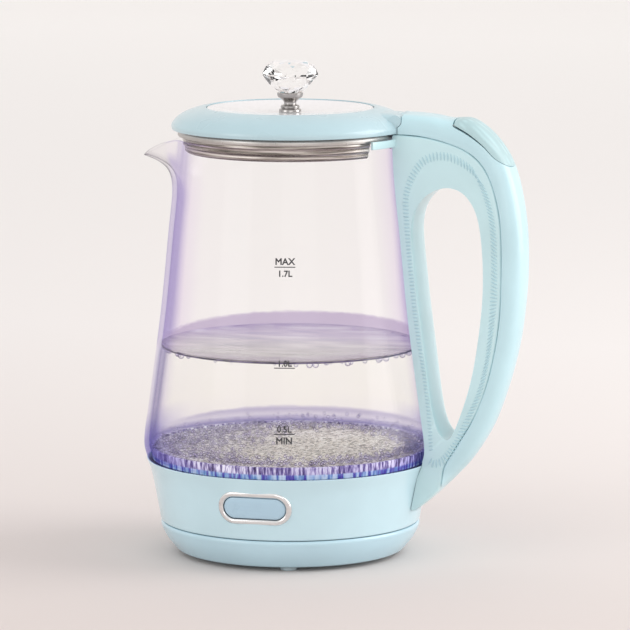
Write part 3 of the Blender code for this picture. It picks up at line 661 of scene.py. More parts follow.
def boiling_plate(name):
    """Steel plate under water: satin grain covered in scale and tiny bubbles, with painted light: the white
    glints and dark shade of the bubbles in its speckle, and violet glow of the lamps towards the spout side.
    """
    finish = Finish(name, srgb(176, 166, 156), 0.38, 0.1)
    fine = finish.noise(1.7, 3.0, roughness=0.75)
    coarse = finish.noise(11.0, 3.0)
    # Speckle from near black to near white: scale and tiny bubbles, with their painted glints and shade.
    scale_and_painted_glints = finish.ramp(finish.spread(fine, 0.40, 0.60), (0.0, srgb(58, 50, 48)),
                          (0.18, srgb(150, 140, 132)), (0.38, srgb(220, 211, 200)),
                          (0.64, srgb(248, 242, 234)), (0.84, srgb(255, 254, 251)))
    # Violet speckle towards the spout side: painted glow of the lamps under the plate.
    violet = finish.ramp(finish.spread(fine, 0.40, 0.60), (0.0, srgb(26, 20, 38)),
                         (0.26, srgb(114, 104, 136)), (0.50, srgb(206, 199, 214)),
                         (0.74, srgb(254, 253, 255)))
    x = finish.maths("ADD", finish.axis("X"), finish.swing(coarse, -16.0, 16.0))
    finish.colour(finish.mixed(finish.spread(x, -50.0, 0.0), violet, scale_and_painted_glints))
    finish.rough(finish.swing(fine, 0.3, 0.55))
    finish.bump(fine, 0.25, 0.8)
    return finish.material


def lit_seal(name):
    """The clear seal round the plate, painted with light though it is no lamp: a faint glow, and dark,
    violet and white streaks of painted light and shade above a dashed line of painted light.
    """
    # Emission makes the seal glow: painted glow of the lamps under the plate.
    finish = Finish(name, srgb(120, 104, 190), 0.2, Emission_Strength=0.12)
    streaks = finish.noise(1.5, 3.0, (1.0, 1.0, 7.0), 0.6)
    drift = finish.spread(finish.noise(30.0, 2.0), 0.35, 0.65)
    shade = finish.ramp(finish.spread(streaks, 0.34, 0.66), (0.0, srgb(38, 30, 54)),
                        (0.30, srgb(104, 92, 142)), (0.54, srgb(186, 178, 206)),
                        (0.78, srgb(250, 250, 254)))
    dashes = finish.ramp(finish.spread(finish.noise(2.4, 1.0, (1.0, 1.0, 9.0)), 0.40, 0.60),
                         (0.0, srgb(84, 74, 176)), (0.5, srgb(120, 172, 216)),
                         (1.0, srgb(214, 236, 246)))
    line = finish.maths("MULTIPLY", finish.spread(finish.axis("Z"), 53.9, 53.2), 0.85)
    glow = finish.mixed(line, finish.mixed(finish.maths("MULTIPLY", drift, 0.3), shade,
                                           srgb(116, 100, 180)), dashes)
    finish.colour(glow)
    finish.feed(finish.shader.inputs["Emission Color"], glow)
    finish.bump(streaks, 0.2, 0.5)
    return finish.material


def cut_crystal(name):
    """Clear cut crystal with polished facets."""
    finish = Finish(name, (1.0, 1.0, 1.0), 0.0, Transmission_Weight=1.0, IOR=1.52)
    finish.rough(finish.swing(finish.noise(3.0), 0.0, 0.02))
    finish.bump(finish.noise(2.5, 3.0), 0.01, 0.2)
    return finish.material


def skirt_metal(name):
    """Grey satin of the lid's plug, with bright and dark bands along it."""
    finish = Finish(name, srgb(150, 142, 134), 0.26, 0.65)
    bands = finish.noise(0.9, 3.0, (40.0, 40.0, 1.0))
    shade = finish.ramp(finish.spread(bands, 0.32, 0.68), (0.0, srgb(90, 84, 78)),
                        (0.5, srgb(154, 146, 138)), (1.0, srgb(232, 228, 222)))
    finish.colour(shade)
    finish.rough(finish.swing(bands, 0.2, 0.36))
    finish.bump(finish.noise(0.5), 0.01, 0.4)
    return finish.material


def print_ink(name):
    """Dark grey ink of the level marks."""
    finish = Finish(name, (0.03, 0.03, 0.035), 0.5)
    worn = finish.spread(finish.noise(0.7, 3.0), 0.25, 0.75)
    finish.colour(finish.mixed(worn, (0.015, 0.015, 0.018), (0.06, 0.06, 0.065)))
    finish.bump(finish.noise(0.3), 0.01, 0.4)
    return finish.material


def studio_floor(name):
    """Pale seamless paper, darker and a little pinker near the viewer: painted shade of the studio's light
    falling off.
    """
    finish = Finish(name, srgb(244, 239, 236), 0.85)
    y = finish.add("ShaderNodeSeparateXYZ", Vector=finish.place).outputs["Y"]
    # Darker and pinker towards the viewer: painted shade.
    finish.colour(finish.ramp(finish.spread(y, -0.3, 3.2), (0.0, srgb(217, 206, 202)),
                              (0.30, srgb(239, 234, 232)), (1.0, srgb(255, 252, 250))))
    finish.bump(finish.noise(2.0, 3.0), 0.02, 0.2)
    return finish.material


LID_BLUE = srgb(182, 209, 217)
HANDLE_BLUE = srgb(199, 230, 235)
COVER_BLUE = srgb(192, 225, 233)
COLLAR_BLUE = srgb(198, 226, 235)
BASE_BLUE = srgb(188, 218, 230)

BLUE_LID = moulded_plastic("lid_blue_plastic", LID_BLUE)
BLUE_HANDLE = moulded_plastic("handle_blue_plastic", HANDLE_BLUE, 0.3)
# The ribs' blue is darker than the handle's: painted shade of the grooves between them.
BLUE_RIB_SHADED = moulded_plastic("rib_blue_painted_shade", srgb(180, 215, 224), 0.4)
BLUE_BUTTON = grip_plastic("button_blue_plastic", srgb(186, 216, 220))
BLUE_COVER = moulded_plastic("cover_blue_plastic", COVER_BLUE, 0.34)
BLUE_SWITCH = moulded_plastic("switch_blue_plastic", srgb(178, 208, 226))
BLUE_COLLAR = moulded_plastic("collar_blue_plastic", COLLAR_BLUE, 0.22)
BLUE_BASE = moulded_plastic("base_blue_plastic", BASE_BLUE, 0.24)
WHITE_DISC = white_gloss("disc_white", srgb(244, 242, 245))
# Plating darker than the bezel's: painted darker reflection, standing in for dark surroundings that the even
# studio lacks.
CHROME = polished_metal("chrome_plate_painted_dark", (0.42, 0.40, 0.39), 0.12)
SATIN_CHROME = polished_metal("bezel_plate", srgb(240, 240, 240), 0.16)
STEEL = rough_metal("stainless_steel", (0.58, 0.56, 0.54))
SPRING_STEEL = rough_metal("spring_steel", (0.45, 0.45, 0.46), 0.28)
BRASS = rough_metal("brass", (0.72, 0.52, 0.24), 0.26)
DARK_PLASTIC = matt_plastic("dark_plastic", (0.035, 0.035, 0.04))
RUBBER = matt_plastic("foot_rubber", srgb(186, 202, 208), 0.65)
SILICONE = matt_plastic("clear_silicone", srgb(214, 214, 220), 0.4)
BOARD = circuit_board("circuit_board")
LAMP = lamp_lens("lamp_lens")
GLASS = jug_glass("jug_glass")
WATER = water_body("water")
WATERLINE_SHADE = painted_waterline_shade("painted_waterline_shade")
WATER_SURFACE = water_top("water_surface")
BUBBLE = bubble_skin("bubble")
PLATE = boiling_plate("heater_plate_scale_and_painted_light")
LIT_SEAL = lit_seal("lit_seal")
CRYSTAL = cut_crystal("cut_crystal")
SKIRT = skirt_metal("plug_skirt")
INK = print_ink("print_ink")
PAPER = studio_floor("studio_paper")

SLOT_FINISH = {
    "body_blue": BLUE_HANDLE, "cover_blue": BLUE_COVER, "base_blue": BLUE_BASE,
    "white_disc": WHITE_DISC, "chrome": CHROME, "stainless": STEEL, "spring_steel": SPRING_STEEL,
    "brass": BRASS, "jug_glass": GLASS, "crystal": CRYSTAL, "plug_grey": SKIRT,
    "black_plastic": DARK_PLASTIC, "rubber_foot": RUBBER, "silicone": SILICONE, "board": BOARD,
    "led_lens": LAMP,
}


def finish_cad_nodes():
    """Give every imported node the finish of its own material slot."""
    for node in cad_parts.values():
        for i, held in enumerate(node.data.materials):
            name = held.name.split(".")[0]
            if name in SLOT_FINISH:
                node.data.materials[i] = SLOT_FINISH[name]


# --- Power base -------------------------------------------------------------------------------

def power_base():
    """The bowl-shaped base with its deck, and the rubber feet under it."""
    bowl = softened([(12.4, 13.0), (12.4, 15.0, 0.6), (65.0, 15.0, 1.0), (66.2, 17.6, 0.4),
                     (68.5, 17.6, 0.5), (69.1, 16.2, 0.9), (66.9, 10.4, 4.0), (60.2, 2.2, 1.6),
                     (58.0, 2.2, 0.3), (64.2, 10.6, 1.0), (64.8, 13.0, 0.5)])
    shell = turned("power_base_shell", bowl)
    cut(shell, rod("gland_hole", (0.0, 50.0, 8.0), (0.0, 75.0, 8.0), 4.3))
    piece(shell, "power_base", BLUE_BASE, ["base_shell"])
    foot = softened([(0.0, 5.6), (2.6, 5.4, 0.3), (2.9, 4.3, 0.3), (1.9, 4.3), (1.9, 1.9),
                     (4.4, 1.9, 0.3), (4.4, 0.0, 0.8), (0.0, 0.0)], 3)
    for i in range(1, 5):
        low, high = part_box(f"base_foot_{i}")
        middle = (low + high) / 2.0 / MM
        pad = turned(f"rubber_foot_{i}", foot, (middle.x, middle.y), 32)
        piece(pad, "power_base", RUBBER, [f"base_foot_{i}"])


# --- Jug --------------------------------------------------------------------------------------

def draw_spout(vert):
    """Move a point of the jug's wall outwards and down where it belongs to the spout."""
    off = abs(math.degrees(math.atan2(vert.y, -vert.x)))
    side = max(0.0, 1.0 - off / SPOUT_HALF_DEG)
    side = side ** 1.6 * (3.0 - 2.0 * side) ** 0.5
    rise = max(0.0, (vert.z - SPOUT_START_Z) / (RIM_Z - SPOUT_START_Z))
    radius = math.hypot(vert.x, vert.y)
    grow = 1.0 + SPOUT_REACH * side * rise ** 2.2 / radius
    return Vector((vert.x * grow, vert.y * grow, vert.z - SPOUT_DROP * side ** 1.5 * rise ** 2))


def glass_wall():
    """The glass jug: a turned wall with a rounded lip, drawn out into the spout."""
    outer = smooth(GLASS_OUTSIDE, 6)
    inner = [(r - GLASS_THICKNESS, z) for r, z in reversed(outer)]
    middle_r = outer[-1][0] - GLASS_THICKNESS / 2.0
    lip = [(middle_r + GLASS_THICKNESS / 2.0 * math.cos(turn), RIM_Z - 1.3 + 1.3 * math.sin(turn))
           for turn in (math.pi * i / 8 for i in range(1, 8))]
    wall = turned("glass_wall", outer[:-1] + lip + inner[1:], steps=240)
    for vert in wall.data.vertices:
        vert.co = draw_spout(vert.co / MM) * MM
    piece(wall, "jug", GLASS, ["glass_jug"], 60.0)


def heater():
    """The steel plate at the bottom of the jug and the glowing seal round it."""
    plate = softened([(0.0, PLATE_Z), (71.4, PLATE_Z, 0.8), (71.9, 56.0, 0.4), (71.6, 53.0, 0.5),
                      (68.4, 46.0), (67.4, 46.0), (70.6, 53.2, 0.4), (70.7, 55.8), (0.0, 55.8)], 3)
    piece(turned("heater_plate_disc", plate), "jug", PLATE, ["heater_plate"])
    seal = softened([(72.1, 57.6, 0.5), (73.9, 57.6, 0.6), (73.4, 50.8, 0.5), (72.1, 50.8, 0.3)], 3)
    piece(turned("plate_seal_ring", seal), "jug", LIT_SEAL, ["plate_seal"])


def collar():
    """The blue collar round the jug's foot, with the hole for the switch."""
    outline = [(66.5, 18.0), (68.4, 18.0, 0.3), (68.95, 18.6, 0.4), (71.0, 29.7, 6.0),
               (73.8, 44.3, 5.0), (76.5, 51.2, 0.5), (75.5, 51.2, 0.3), (72.7, 44.5), (69.3, 44.5),
               (69.3, 42.6), (70.6, 41.0), (68.6, 30.0)]
    shell = turned("collar_ring", softened(outline))
    hole = flat_plate("bezel_hole", [stadium(SWITCH_CENTRE, (37.8, 15.8))], 20.0)
    hole.location.y = -70.0 * MM
    cut(shell, hole)
    piece(shell, "jug", BLUE_COLLAR, ["collar_shell"])


def on_collar(x, z, rise):
    """The point on the collar's front at (x, z), raised by rise."""
    radius = radius_at(COLLAR_OUTSIDE, z) + rise
    return Vector((x, -math.sqrt(radius ** 2 - x ** 2), z))


def switch_bezel():
    """The plated ring round the switch: a rounded band that follows the collar's curve."""
    band, height, sides = 1.45, 1.15, 14
    path = stadium(SWITCH_CENTRE, (36.6, 14.8), 28)
    rings = []
    for i, (x, z) in enumerate(path):
        before, after = Vector(path[i - 1]), Vector(path[(i + 1) % len(path)])
        along = (after - before).normalized()
        ring = []
        for k in range(sides):
            turn = 2.0 * math.pi * k / sides
            shift = band * math.cos(turn)
            rise = height * (math.sin(turn) if math.sin(turn) > 0.0 else 0.9 * math.sin(turn))
            ring.append(on_collar(x + along.y * shift, z - along.x * shift, rise))
        rings.append(ring)
    piece(lofted("switch_bezel_ring", rings, True), "jug", SATIN_CHROME, ["switch_bezel"])


def switch_plate():
    """The rocking switch plate, slightly crowned, with rounded edges."""
    layers = [(3.0, -2.6), (0.0, -2.6), (0.0, -0.35), (0.25, 0.1), (0.8, 0.35), (2.6, 0.5), (4.6, 0.55)]
    size = (33.2, 11.4)
    rings = [[on_collar(x, z, rise) for x, z in
              stadium(SWITCH_CENTRE, (size[0] - 2.0 * inset, size[1] - 2.0 * inset))]
             for inset, rise in layers]
    piece(lofted("switch_plate", rings), "switch", BLUE_SWITCH, ["switch_button"])


# --- Water and marks --------------------------------------------------------------------------

def inner_radius(z):
    """Radius of the jug's inner wall at a height."""
    return radius_at(GLASS_OUTSIDE, z) - GLASS_THICKNESS


def water():
    """One body of water up to its level, with the surface turned up at the wall."""
    wall = [(inner_radius(z) - 0.12, z) for z in
            [PLATE_Z + 0.3 + (WATER_Z - PLATE_Z - 0.3) * i / 16 for i in range(17)]]
    rise = [(wall[-1][0], WATER_Z + 0.9), (wall[-1][0] - 0.8, WATER_Z + 0.35), (wall[-1][0] - 2.6, WATER_Z)]
    outline = [(0.0, PLATE_Z + 0.3)] + wall + rise + [(30.0, WATER_Z), (0.0, WATER_Z)]
    body = piece(turned("water_body", outline), "jug", WATER)
    body.data.materials.append(WATER_SURFACE)
    for face in body.data.polygons:
        if face.normal.z > 0.7 and face.center.z > (WATER_Z - 1.0) * MM:
            face.material_index = 1


def waterline():
    """The dark edge of the water along the front wall: a thin ring that carries painted shade."""
    reach = inner_radius(WATER_Z) - 0.45
    section = [(reach + 0.42 * math.cos(t), WATER_Z - 0.1 + 0.46 * math.sin(t))
               for t in (2.0 * math.pi * i / 10 for i in range(10))]
    piece(turned("waterline", section, steps=150, arc=(-176.0, -4.0)), "jug", WATERLINE_SHADE)


def bubbles(name, places, detail=1):
    """Many small bubbles in one mesh: each place is (x, y, z, radius)."""
    matrices = [Matrix.Translation((x, y, z)) @ Matrix.Scale(radius, 4)
                for x, y, z, radius in places]
    piece(scattered(name, ball(detail), matrices), "jug", BUBBLE, crease=180.0)


def waterline_bubbles():
    """Bubbles caught under the water's edge."""
    draw = random.Random(5)
    places = []
    for _ in range(64):
        turn = draw.uniform(0.0, 2.0 * math.pi)
        radius = draw.choice((0.7, 0.9, 1.2, 1.6))
        reach = inner_radius(WATER_Z) - 0.2 - radius
        places.append((*polar(reach, turn), WATER_Z - 0.8 * radius, radius))
    bubbles("waterline_bubbles", places, 3)


def plate_bubbles():
    """Bubbles that grow on the heated plate, crowded towards its rim and up the wall."""
    draw = random.Random(11)
    places = []
    for _ in range(1500):
        turn = draw.uniform(0.0, 2.0 * math.pi)
        crowd = 0.10 + 0.22 * (0.5 - 0.5 * math.cos(turn)) ** 2
        reach = 71.0 * (1.0 - abs(draw.gauss(0.0, crowd)))
        radius = draw.uniform(0.45, 1.15)
        lift = draw.uniform(0.0, 5.5) if reach > 67.5 else draw.uniform(0.0, 1.0)
        if reach > 8.0:
            places.append((*polar(reach, turn), PLATE_Z + 0.6 * radius + lift, radius))
    bubbles("plate_bubbles", places)


def level_marks():
    """Level marks printed on the front of the jug: generic words, figures and lines."""
    marks = [("MAX", 163.6, 3.9), ("1.7L", 157.4, 3.6), ("1.0L", 111.4, 3.6), ("0.5L", 77.8, 3.6),
             ("MIN", 71.9, 3.9)]
    pieces = []
    for word, z, size in marks:
        text = bpy.data.curves.new("mark", "FONT")
        text.body = word
        text.align_x = "CENTER"
        text.align_y = "CENTER"
        text.size = size * 1.22 * MM
        text.extrude = 0.02 * MM
        text.bevel_depth = 0.13 * MM
        text.bevel_resolution = 0
        made = from_curve("mark_" + word, bpy.data.objects.new("mark", text))
        pieces.append((made, z))
    for z in (160.9, 109.2, 75.4):
        pieces.append((slab("mark_line", (-5.4, -0.24, -0.06), (5.4, 0.24, 0.06)), z))
    middle = math.radians(MARKS_AT_DEG)
    wall = smooth(GLASS_OUTSIDE, 6)
    for made, z in pieces:
        for vert in made.data.vertices:
            x, y, lift = vert.co / MM
            radius = radius_at(wall, z + y) + 0.14 + lift
            turn = middle + x / radius
            vert.co = Vector((*polar(radius, turn), z + y)) * MM
    first = pieces[0][0]
    bm = bmesh.new()
    for made, _ in pieces:
        bm.from_mesh(made.data)
    bm.to_mesh(first.data)
    bm.free()
    for made, _ in pieces[1:]:
        bpy.data.objects.remove(made)
    first.name = "level_marks"
    piece(first, "jug", INK, crease=20.0)


# --- Handle -----------------------------------------------------------------------------------

SEAM = [(61.8, 225.6), (79.9, 223.9), (99.0, 217.6), (110.4, 205.3), (116.4, 184.0),
        (117.6, 160.0), (116.9, 132.0), (112.6, 104.7), (105.2, 81.5), (94.3, 62.6),
        (87.6, 51.0), (86.6, 43.3)]
# Finger hole, and how much each of its points draws back at the two faces of the handle
FINGER_HOLE = [(87.6, 198.5, 0.0), (75.9, 192.0, 0.8), (71.0, 178.0, 1.6), (73.2, 150.0, 1.8),
               (77.7, 113.6, 1.7), (82.8, 77.0, 1.2), (89.2, 65.8, 0.4), (94.8, 75.0, 0.0),
               (103.0, 102.9, 0.0), (107.9, 143.3, 0.0), (106.0, 178.0, 0.0), (99.0, 194.0, 0.0)]
# Ribs on the handle's faces: middle (x, z), lean in degrees, half length
RIBS = [(80.5, 60.1, 14, 1.4), (79.3, 77.6, -3, 1.4), (76.6, 99.7, -7, 1.4), (72.2, 127.1, 2, 1.5),
        (69.0, 156.4, 8, 1.6), (66.8, 181.6, 0, 1.8), (66.6, 193.1, -10, 2.0), (68.7, 201.0, -24, 2.2),
        (71.8, 207.2, -42, 2.4), (76.1, 212.4, -64, 2.6), (83.1, 215.0, -84, 2.6), (90.6, 214.4, -86, 2.6),
        (98.1, 210.9, -82, 2.8), (102.9, 207.0, -78, 2.8), (107.0, 200.4, -30, 2.4),
        (110.8, 190.3, -28, 2.4), (113.0, 178.9, -32, 2.4), (113.9, 164.3, -34, 2.3),
        (114.0, 146.0, -20, 2.2), (113.1, 131.8, 29, 2.3), (111.0, 111.7, 47, 2.4),
        (106.8, 92.6, 30, 2.3), (101.0, 78.6, 7, 2.2), (95.8, 67.2, -13, 2.2), (90.6, 59.0, -36, 2.3),
        (86.5, 54.3, -71, 2.6), (82.1, 52.7, -100, 2.5), (80.0, 54.2, -121, 2.2)]

# Back cover: (seam x, seam z, back x, back z, fullness of the section), from the lid to the tip
COVER_STATIONS = [
    (61.8, 225.6, 61.8, 236.1, 5.5), (72.0, 225.2, 70.0, 235.9, 5.5), (81.0, 223.7, 79.0, 235.2, 4.5),
    (89.0, 221.6, 87.6, 233.9, 3.8), (97.0, 218.6, 98.4, 234.0, 3.4), (103.8, 214.2, 108.0, 228.2, 3.2),
    (109.2, 207.4, 116.2, 219.0, 3.0), (113.4, 197.2, 121.8, 208.2, 2.8), (116.4, 184.0, 126.2, 192.0, 2.4),
    (117.5, 168.0, 128.6, 174.0, 2.3), (117.5, 150.0, 128.9, 154.0, 2.3), (116.9, 132.0, 127.4, 134.0, 2.3),
    (114.6, 115.0, 124.8, 116.0, 2.3), (110.2, 96.0, 119.6, 95.4, 2.3), (103.0, 77.4, 111.7, 73.5, 2.3),
    (94.3, 62.6, 101.2, 56.0, 2.3), (87.8, 51.6, 91.6, 45.0, 2.4), (86.6, 43.3, 85.6, 39.2, 2.6),
]
# Line under the thumb button, and the button's own underside
BUTTON_FLOOR = [(90.9, 230.5), (99.1, 226.3), (107.4, 220.4), (114.0, 214.0), (124.7, 207.5)]
BUTTON_UNDER = [(91.6, 231.3), (99.6, 227.0), (107.6, 220.8), (114.1, 214.2), (124.8, 207.7)]


def jug_side():
    """A cutter with the jug's outside and a small gap."""
    wall = [p for p in smooth(GLASS_OUTSIDE, 4) if p[1] > 52.0]
    outside = [(r + GAP, z) for r, z in COLLAR_OUTSIDE + wall]
    return turned("jug_side", [(0.0, 10.0), (outside[0][0], 10.0)] + outside
                  + [(outside[-1][0], 240.0), (0.0, 240.0)], steps=200)


def rim_rest():
    """The handle's short arc round the jug's rim, under the back of the lid."""
    section = softened([(60.9, 219.2, 0.3), (62.3, 219.2, 0.5), (62.3, 223.3, 0.4), (60.9, 223.3, 0.3)], 3)
    rest = turned("rim_rest", section, steps=60, arc=(-30.5, 30.5))
    piece(rest, "jug", BLUE_HANDLE)


def finger_hole():
    """A cutter for the finger hole that opens out towards both faces on the jug's side."""
    levels = [-16.0, -HANDLE_HALF, -12.6, -11.8, -10.4, -8.4, -6.0, -3.2, 0.0]
    levels += [-y for y in reversed(levels[:-1])]
    rings = []
    for y in levels:
        share = 1.0 - math.sqrt(max(0.0, 1.0 - (y / HANDLE_HALF) ** 2))
        loop = smooth_loop([(x - draw * share, z) for x, z, draw in FINGER_HOLE], 8)
        rings.append([(x, y, z) for x, z in loop])
    return lofted("finger_hole", rings)


def handle_loop():
    """The handle's loop with its finger hole, rounded along its edges."""
    foot = [(84.6, 38.6), (78.4, 32.6), (72.0, 27.0), (50.0, 27.0)]
    body = flat_plate("handle_loop", [[(50.0, 225.4)] + smooth(SEAM, 6) + foot], HANDLE_HALF, 1.4, 4)
    cut(body, jug_side())
    cut(body, finger_hole())
    piece(body, "jug", BLUE_HANDLE, ["handle_body"], 46.0)


def handle_ribs():
    """Short raised ribs round the handle's faces, turning with the loop, in a darker blue that paints the
    shade between them.
    """
    pitch, width, height, sunk = 1.9, 0.40, 0.9, 0.3
    line = resampled(smooth(RIBS, 12), pitch)
    matrices = []
    for x, z, lean, half in line:
        shape = Matrix.Rotation(-math.radians(lean), 4, "Y") @ Matrix.Diagonal((half, height, width, 1.0))
        matrices += [Matrix.Translation((x, side * (HANDLE_HALF - sunk), z)) @ shape
                     for side in (-1.0, 1.0)]
    piece(scattered("handle_ribs", ball(2), matrices), "jug", BLUE_RIB_SHADED, crease=80.0)


def cover_ring(station, half=HANDLE_HALF, shrink=0.0, sides=44):
    """One D-shaped section of the cover: flat along the seam, full towards the back."""
    seam_x, seam_z, back_x, back_z, fullness = station
    start = Vector((seam_x, 0.0, seam_z))
    reach = Vector((back_x, 0.0, back_z)) - start
    depth = reach.length - shrink
    out = reach.normalized()
    power = 2.0 / fullness
    ring = [(0.15, half - 0.55), (0.45, half - 0.15)]
    for i in range(1, sides // 2 + 1):
        turn = math.pi / 2.0 * i / (sides // 2)
        ring.append((max(0.6, depth * math.sin(turn) ** power), half * math.cos(turn) ** power))
    ring += [(d, -y) for d, y in reversed(ring[:-1])]
    return [tuple(start + out * d + Vector((0.0, y, 0.0))) for d, y in ring]


def full_cover(name, half, shrink=0.0):
    """The whole back of the handle as one loft, before the thumb button is parted from it."""
    return lofted(name, [cover_ring(s, half, shrink) for s in smooth(COVER_STATIONS, 8)])


def above(name, line, width=20.0):
    """A cutter over a line in XZ, out to beyond the handle's top corner."""
    top = [(line[-1][0] + 14.0, line[-1][1] - 3.0), (126.0, 242.0), (line[0][0] + 0.4, 242.0)]
    return flat_plate(name, [smooth(line, 8) + top], width)


def back_cover():
    """The cover over the handle's top and back, with the pocket for the thumb button."""
    cover = full_cover("back_cover", HANDLE_HALF)
    x, z = HINGE
    cut(cover, above("button_pocket", BUTTON_FLOOR),
        rod("barrel_room", (x, -20.0, z), (x, 20.0, z), 3.38),
        slab("barrel_way_out", (50.0, -20.0, z), (x + 3.38, 20.0, 245.0)))
    piece(cover, "jug", BLUE_COVER, ["handle_back_cover"], 30.0)


def thumb_button():
    """The thumb button: the part of the same form above its own underside, with a ribbed top."""
    button = full_cover("thumb_button", HANDLE_HALF - 0.35)
    region = smooth(BUTTON_UNDER, 8) + [(134.0, 205.0), (126.0, 242.0), (92.0, 242.0)]
    combined(button, "INTERSECT", flat_plate("button_region", [region], 20.0))
    piece(button, "lid_button", BLUE_BUTTON, ["lid_release_button"], 30.0)


# --- Lid --------------------------------------------------------------------------------------

# Neck of the lid: (x, half width, height of its top, fullness of the section)
NECK_STATIONS = [(44.0, 21.0, 236.0, 3.0), (50.0, 16.6, 236.3, 3.4), (55.0, 14.2, 236.2, 4.2),
                 (59.0, 13.1, 235.9, 5.5), (64.0, 13.0, 235.6, 5.5)]


def disc_height(radius):
    """Height of the dished disc's upper face."""
    return 234.6 + 2.6 * (radius / DISC_R) ** 2


def lid_ring():
    """The blue lid: a sloping ring with a rim band, joined to the neck that meets the handle."""
    outline = [(5.0, disc_height(5.0) - 1.6), (30.0, disc_height(30.0) - 1.6),
               (DISC_R + GAP, disc_height(DISC_R) - 1.6), (DISC_R + GAP, 237.5, 0.35),
               (46.5, 237.35, 1.0), (53.0, 235.9, 4.0), (59.6, 232.6, 3.0), (62.7, 228.6, 1.2),
               (62.4, 226.0, 0.5), (60.4, 226.0), (59.8, 229.4), (54.0, 232.0),
               (40.0, disc_height(40.0) - 3.6), (5.0, disc_height(5.0) - 3.6)]
    ring = turned("lid_ring", softened(outline), steps=220)
    rings = [neck_section(s) for s in smooth(NECK_STATIONS, 6)]
    combined(ring, "UNION", lofted("lid_neck", rings))
    x, z = HINGE
    cut(ring, slab("neck_end", (LID_REAR_X, -40.0, 220.0), (80.0, 40.0, 240.0)))
    combined(ring, "UNION", rod("hinge_barrel", (x, -12.85, z), (x, 12.85, z), 3.08, 64))
    cut(ring, slab("lug_slot", (56.0, -4.2, 220.0), (70.0, 4.2, 234.4)),
        rod("hinge_bore", (x, -11.3, z), (x, 11.3, z), 1.2, 24),
        turned("plug_room", [(0.0, 231.0), (59.3, 231.0), (59.3, 222.0), (0.0, 222.0)], steps=96))
    piece(ring, "lid", BLUE_LID, ["lid_shell"], 24.0)


def neck_section(section, sides=20):
    """Arch-shaped section of the lid's neck at one x."""
    x, half, top, fullness = section
    foot = 225.9
    power = 2.0 / fullness
    arch = []
    for i in range(sides + 1):
        turn = math.pi * i / sides
        y = half * math.copysign(abs(math.cos(turn)) ** power, math.cos(turn))
        arch.append((x, y, foot + 1.0 + (top - foot - 1.0) * max(0.0, math.sin(turn)) ** power))
    return [(x, half, foot)] + arch + [(x, -half, foot)]


def lid_disc():
    """The white dished disc on the lid, with a thin rounded edge."""
    top = [(r, disc_height(r)) for r in (0.0, 6.0, 12.0, 18.0, 24.0, 30.0, 36.0, 41.0, 43.2)]
    outline = top + [(43.7, disc_height(43.7) - 0.1), (DISC_R, disc_height(DISC_R) - 0.5),
                     (DISC_R, disc_height(DISC_R) - 1.3), (43.0, disc_height(43.0) - 1.3), (0.0, 233.3)]
    piece(turned("white_disc", outline), "lid", WHITE_DISC, ["lid_disc"])


def plug():
    """The plug under the lid: a flange, and a banded skirt that is open towards the hinge."""
    core = softened([(0.0, 228.8), (57.4, 228.8, 0.4), (59.2, 224.4, 0.4), (59.2, 222.6, 0.3),
                     (0.0, 222.6)], 3)
    piece(turned("plug_core", core), "lid", STEEL)
    bands = softened([(53.9, 221.7), (58.6, 225.6, 0.4), (59.3, 223.6, 0.5), (56.6, 222.4, 0.4),
                      (56.9, 221.0, 0.5), (56.2, 219.6, 0.4), (56.4, 217.9, 0.4), (55.5, 216.8, 0.4),
                      (55.6, 215.2, 0.5),
                      (54.5, 214.0, 0.5), (53.9, 214.0)], 3)
    skirt = turned("plug_skirt", bands, steps=200, arc=(27.0, 333.0))
    piece(skirt, "lid", SKIRT, ["lid_inner_cover", "lid_seal"])


def knob_stem():
    """The plated stem: a dished cup, a waist, two collars and a foot."""
    outline = [(0.0, 244.2), (5.6, 244.2, 0.3), (6.2, 245.0, 0.3), (7.0, 244.8, 0.3), (6.6, 242.8, 0.6),
               (4.6, 241.4, 0.6), (3.3, 240.2, 0.5), (3.2, 238.8, 0.5), (4.6, 238.3, 0.3),
               (5.2, 237.4, 0.4), (4.5, 236.7, 0.3), (5.8, 236.2, 0.3), (5.9, 235.0), (0.0, 235.0)]
    piece(turned("knob_stem_turned", softened(outline), steps=72), "lid", CHROME,
          ["knob_stem"], 40.0)


def knob_crystal():
    """The cut crystal: a table, a facetted crown, a thin girdle and a long pavilion."""
    levels = [(9.3, 261.4, 8, 0.0), (12.8, 258.9, 8, 0.5), (14.9, 255.3, 16, 0.25), (14.95, 254.4, 16, 0.25),
              (10.9, 249.4, 8, 0.5), (6.3, 245.2, 8, 0.0)]
    bm = bmesh.new()
    for radius, z, count, shift in levels:
        for i in range(count):
            turn = 2.0 * math.pi * (i + shift) / count
            bm.verts.new((*polar(radius, turn), z))
    bmesh.ops.convex_hull(bm, input=bm.verts)
    bmesh.ops.dissolve_limit(bm, angle_limit=math.radians(1.0), verts=bm.verts, edges=bm.edges)
    crystal = mesh_object("cut_crystal", bm)
    piece(crystal, "lid", CRYSTAL, ["knob_crystal", "knob_screw"], 0.0)


# --- Stage ------------------------------------------------------------------------------------

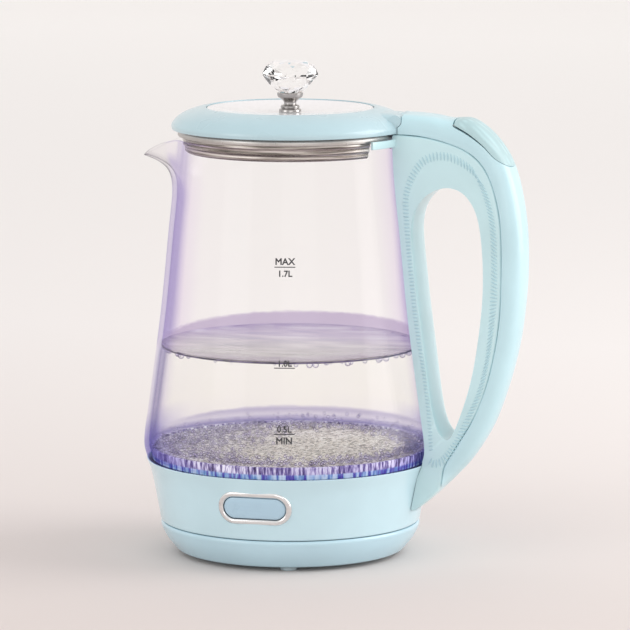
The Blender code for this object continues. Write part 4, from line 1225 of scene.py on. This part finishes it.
def paper_sweep():
    """Floor and backdrop in one curved sheet."""
    half, front, bend, radius, top = 6.0, -4.5, 4.2, 1.6, 5.0
    line = [(front, 0.0), (bend, 0.0)]
    line += [(bend + radius * math.sin(turn), radius - radius * math.cos(turn))
             for turn in (math.pi / 2 * i / 16 for i in range(1, 17))]
    line.append((bend + radius, top))
    bm = bmesh.new()
    rows = [[bm.verts.new((x, y, z)) for x in (-half, half)] for y, z in line]
    for row, following in zip(rows, rows[1:]):
        bm.faces.new((row[0], row[1], following[1], following[0]))
    mesh = bpy.data.meshes.new("paper_sweep")
    bm.to_mesh(mesh)
    bm.free()
    mesh.shade_smooth()
    mesh.materials.append(PAPER)
    sweep = linked("paper_sweep", mesh)


def pointed(made, place, aim):
    """Put an object at place with its view towards aim."""
    made.location = place
    made.rotation_euler = (Vector(aim) - Vector(place)).to_track_quat("-Z", "Y").to_euler()


def soft_light(name, place, aim, size, power):
    """A rectangular soft box that points at aim."""
    lamp = bpy.data.lights.new(name, "AREA")
    lamp.shape = "RECTANGLE"
    lamp.size, lamp.size_y = size
    lamp.energy = power
    pointed(linked(name, lamp), place, aim)


def studio():
    """Even warm surroundings, a key box at the left, a weak one in front and a tall one at the right."""
    world = bpy.data.worlds.new("studio")
    world.use_nodes = True
    background = world.node_tree.nodes["Background"]
    background.inputs["Color"].default_value = (1.0, 0.99, 0.984, 1.0)
    background.inputs["Strength"].default_value = 0.90
    bpy.context.scene.world = world
    middle = (0.02, 0.0, 0.12)
    soft_light("key_box", (-1.5, -2.0, 0.8), middle, (1.4, 1.4), 10.0)
    soft_light("front_box", (1.1, -2.4, 0.3), middle, (1.6, 1.2), 6.0)
    soft_light("tall_box", (1.5, 0.35, 0.6), middle, (1.1, 1.8), 18.0)


def camera():
    """A long lens a little above the kettle, from the front and slightly towards the handle."""
    lens = bpy.data.cameras.new("camera")
    lens.lens = LENS
    lens.sensor_width = 36.0
    viewer = linked("camera", lens)
    pointed(viewer, CAMERA_PLACE, CAMERA_AIM)
    bpy.context.scene.camera = viewer


def colour_settings():
    """Show colours as they are, and let rays pass the many clear layers of the jug."""
    scene = bpy.context.scene
    scene.view_settings.view_transform = "Standard"
    scene.cycles.transparent_max_bounces = 48
    scene.cycles.transmission_bounces = 16


camera()
colour_settings()
studio()
paper_sweep()
finish_cad_nodes()
power_base()
glass_wall()
heater()
collar()
switch_bezel()
switch_plate()
water()
waterline()
waterline_bubbles()
plate_bubbles()
level_marks()
handle_loop()
rim_rest()
handle_ribs()
back_cover()
thumb_button()
lid_ring()
lid_disc()
plug()
knob_stem()
knob_crystal()
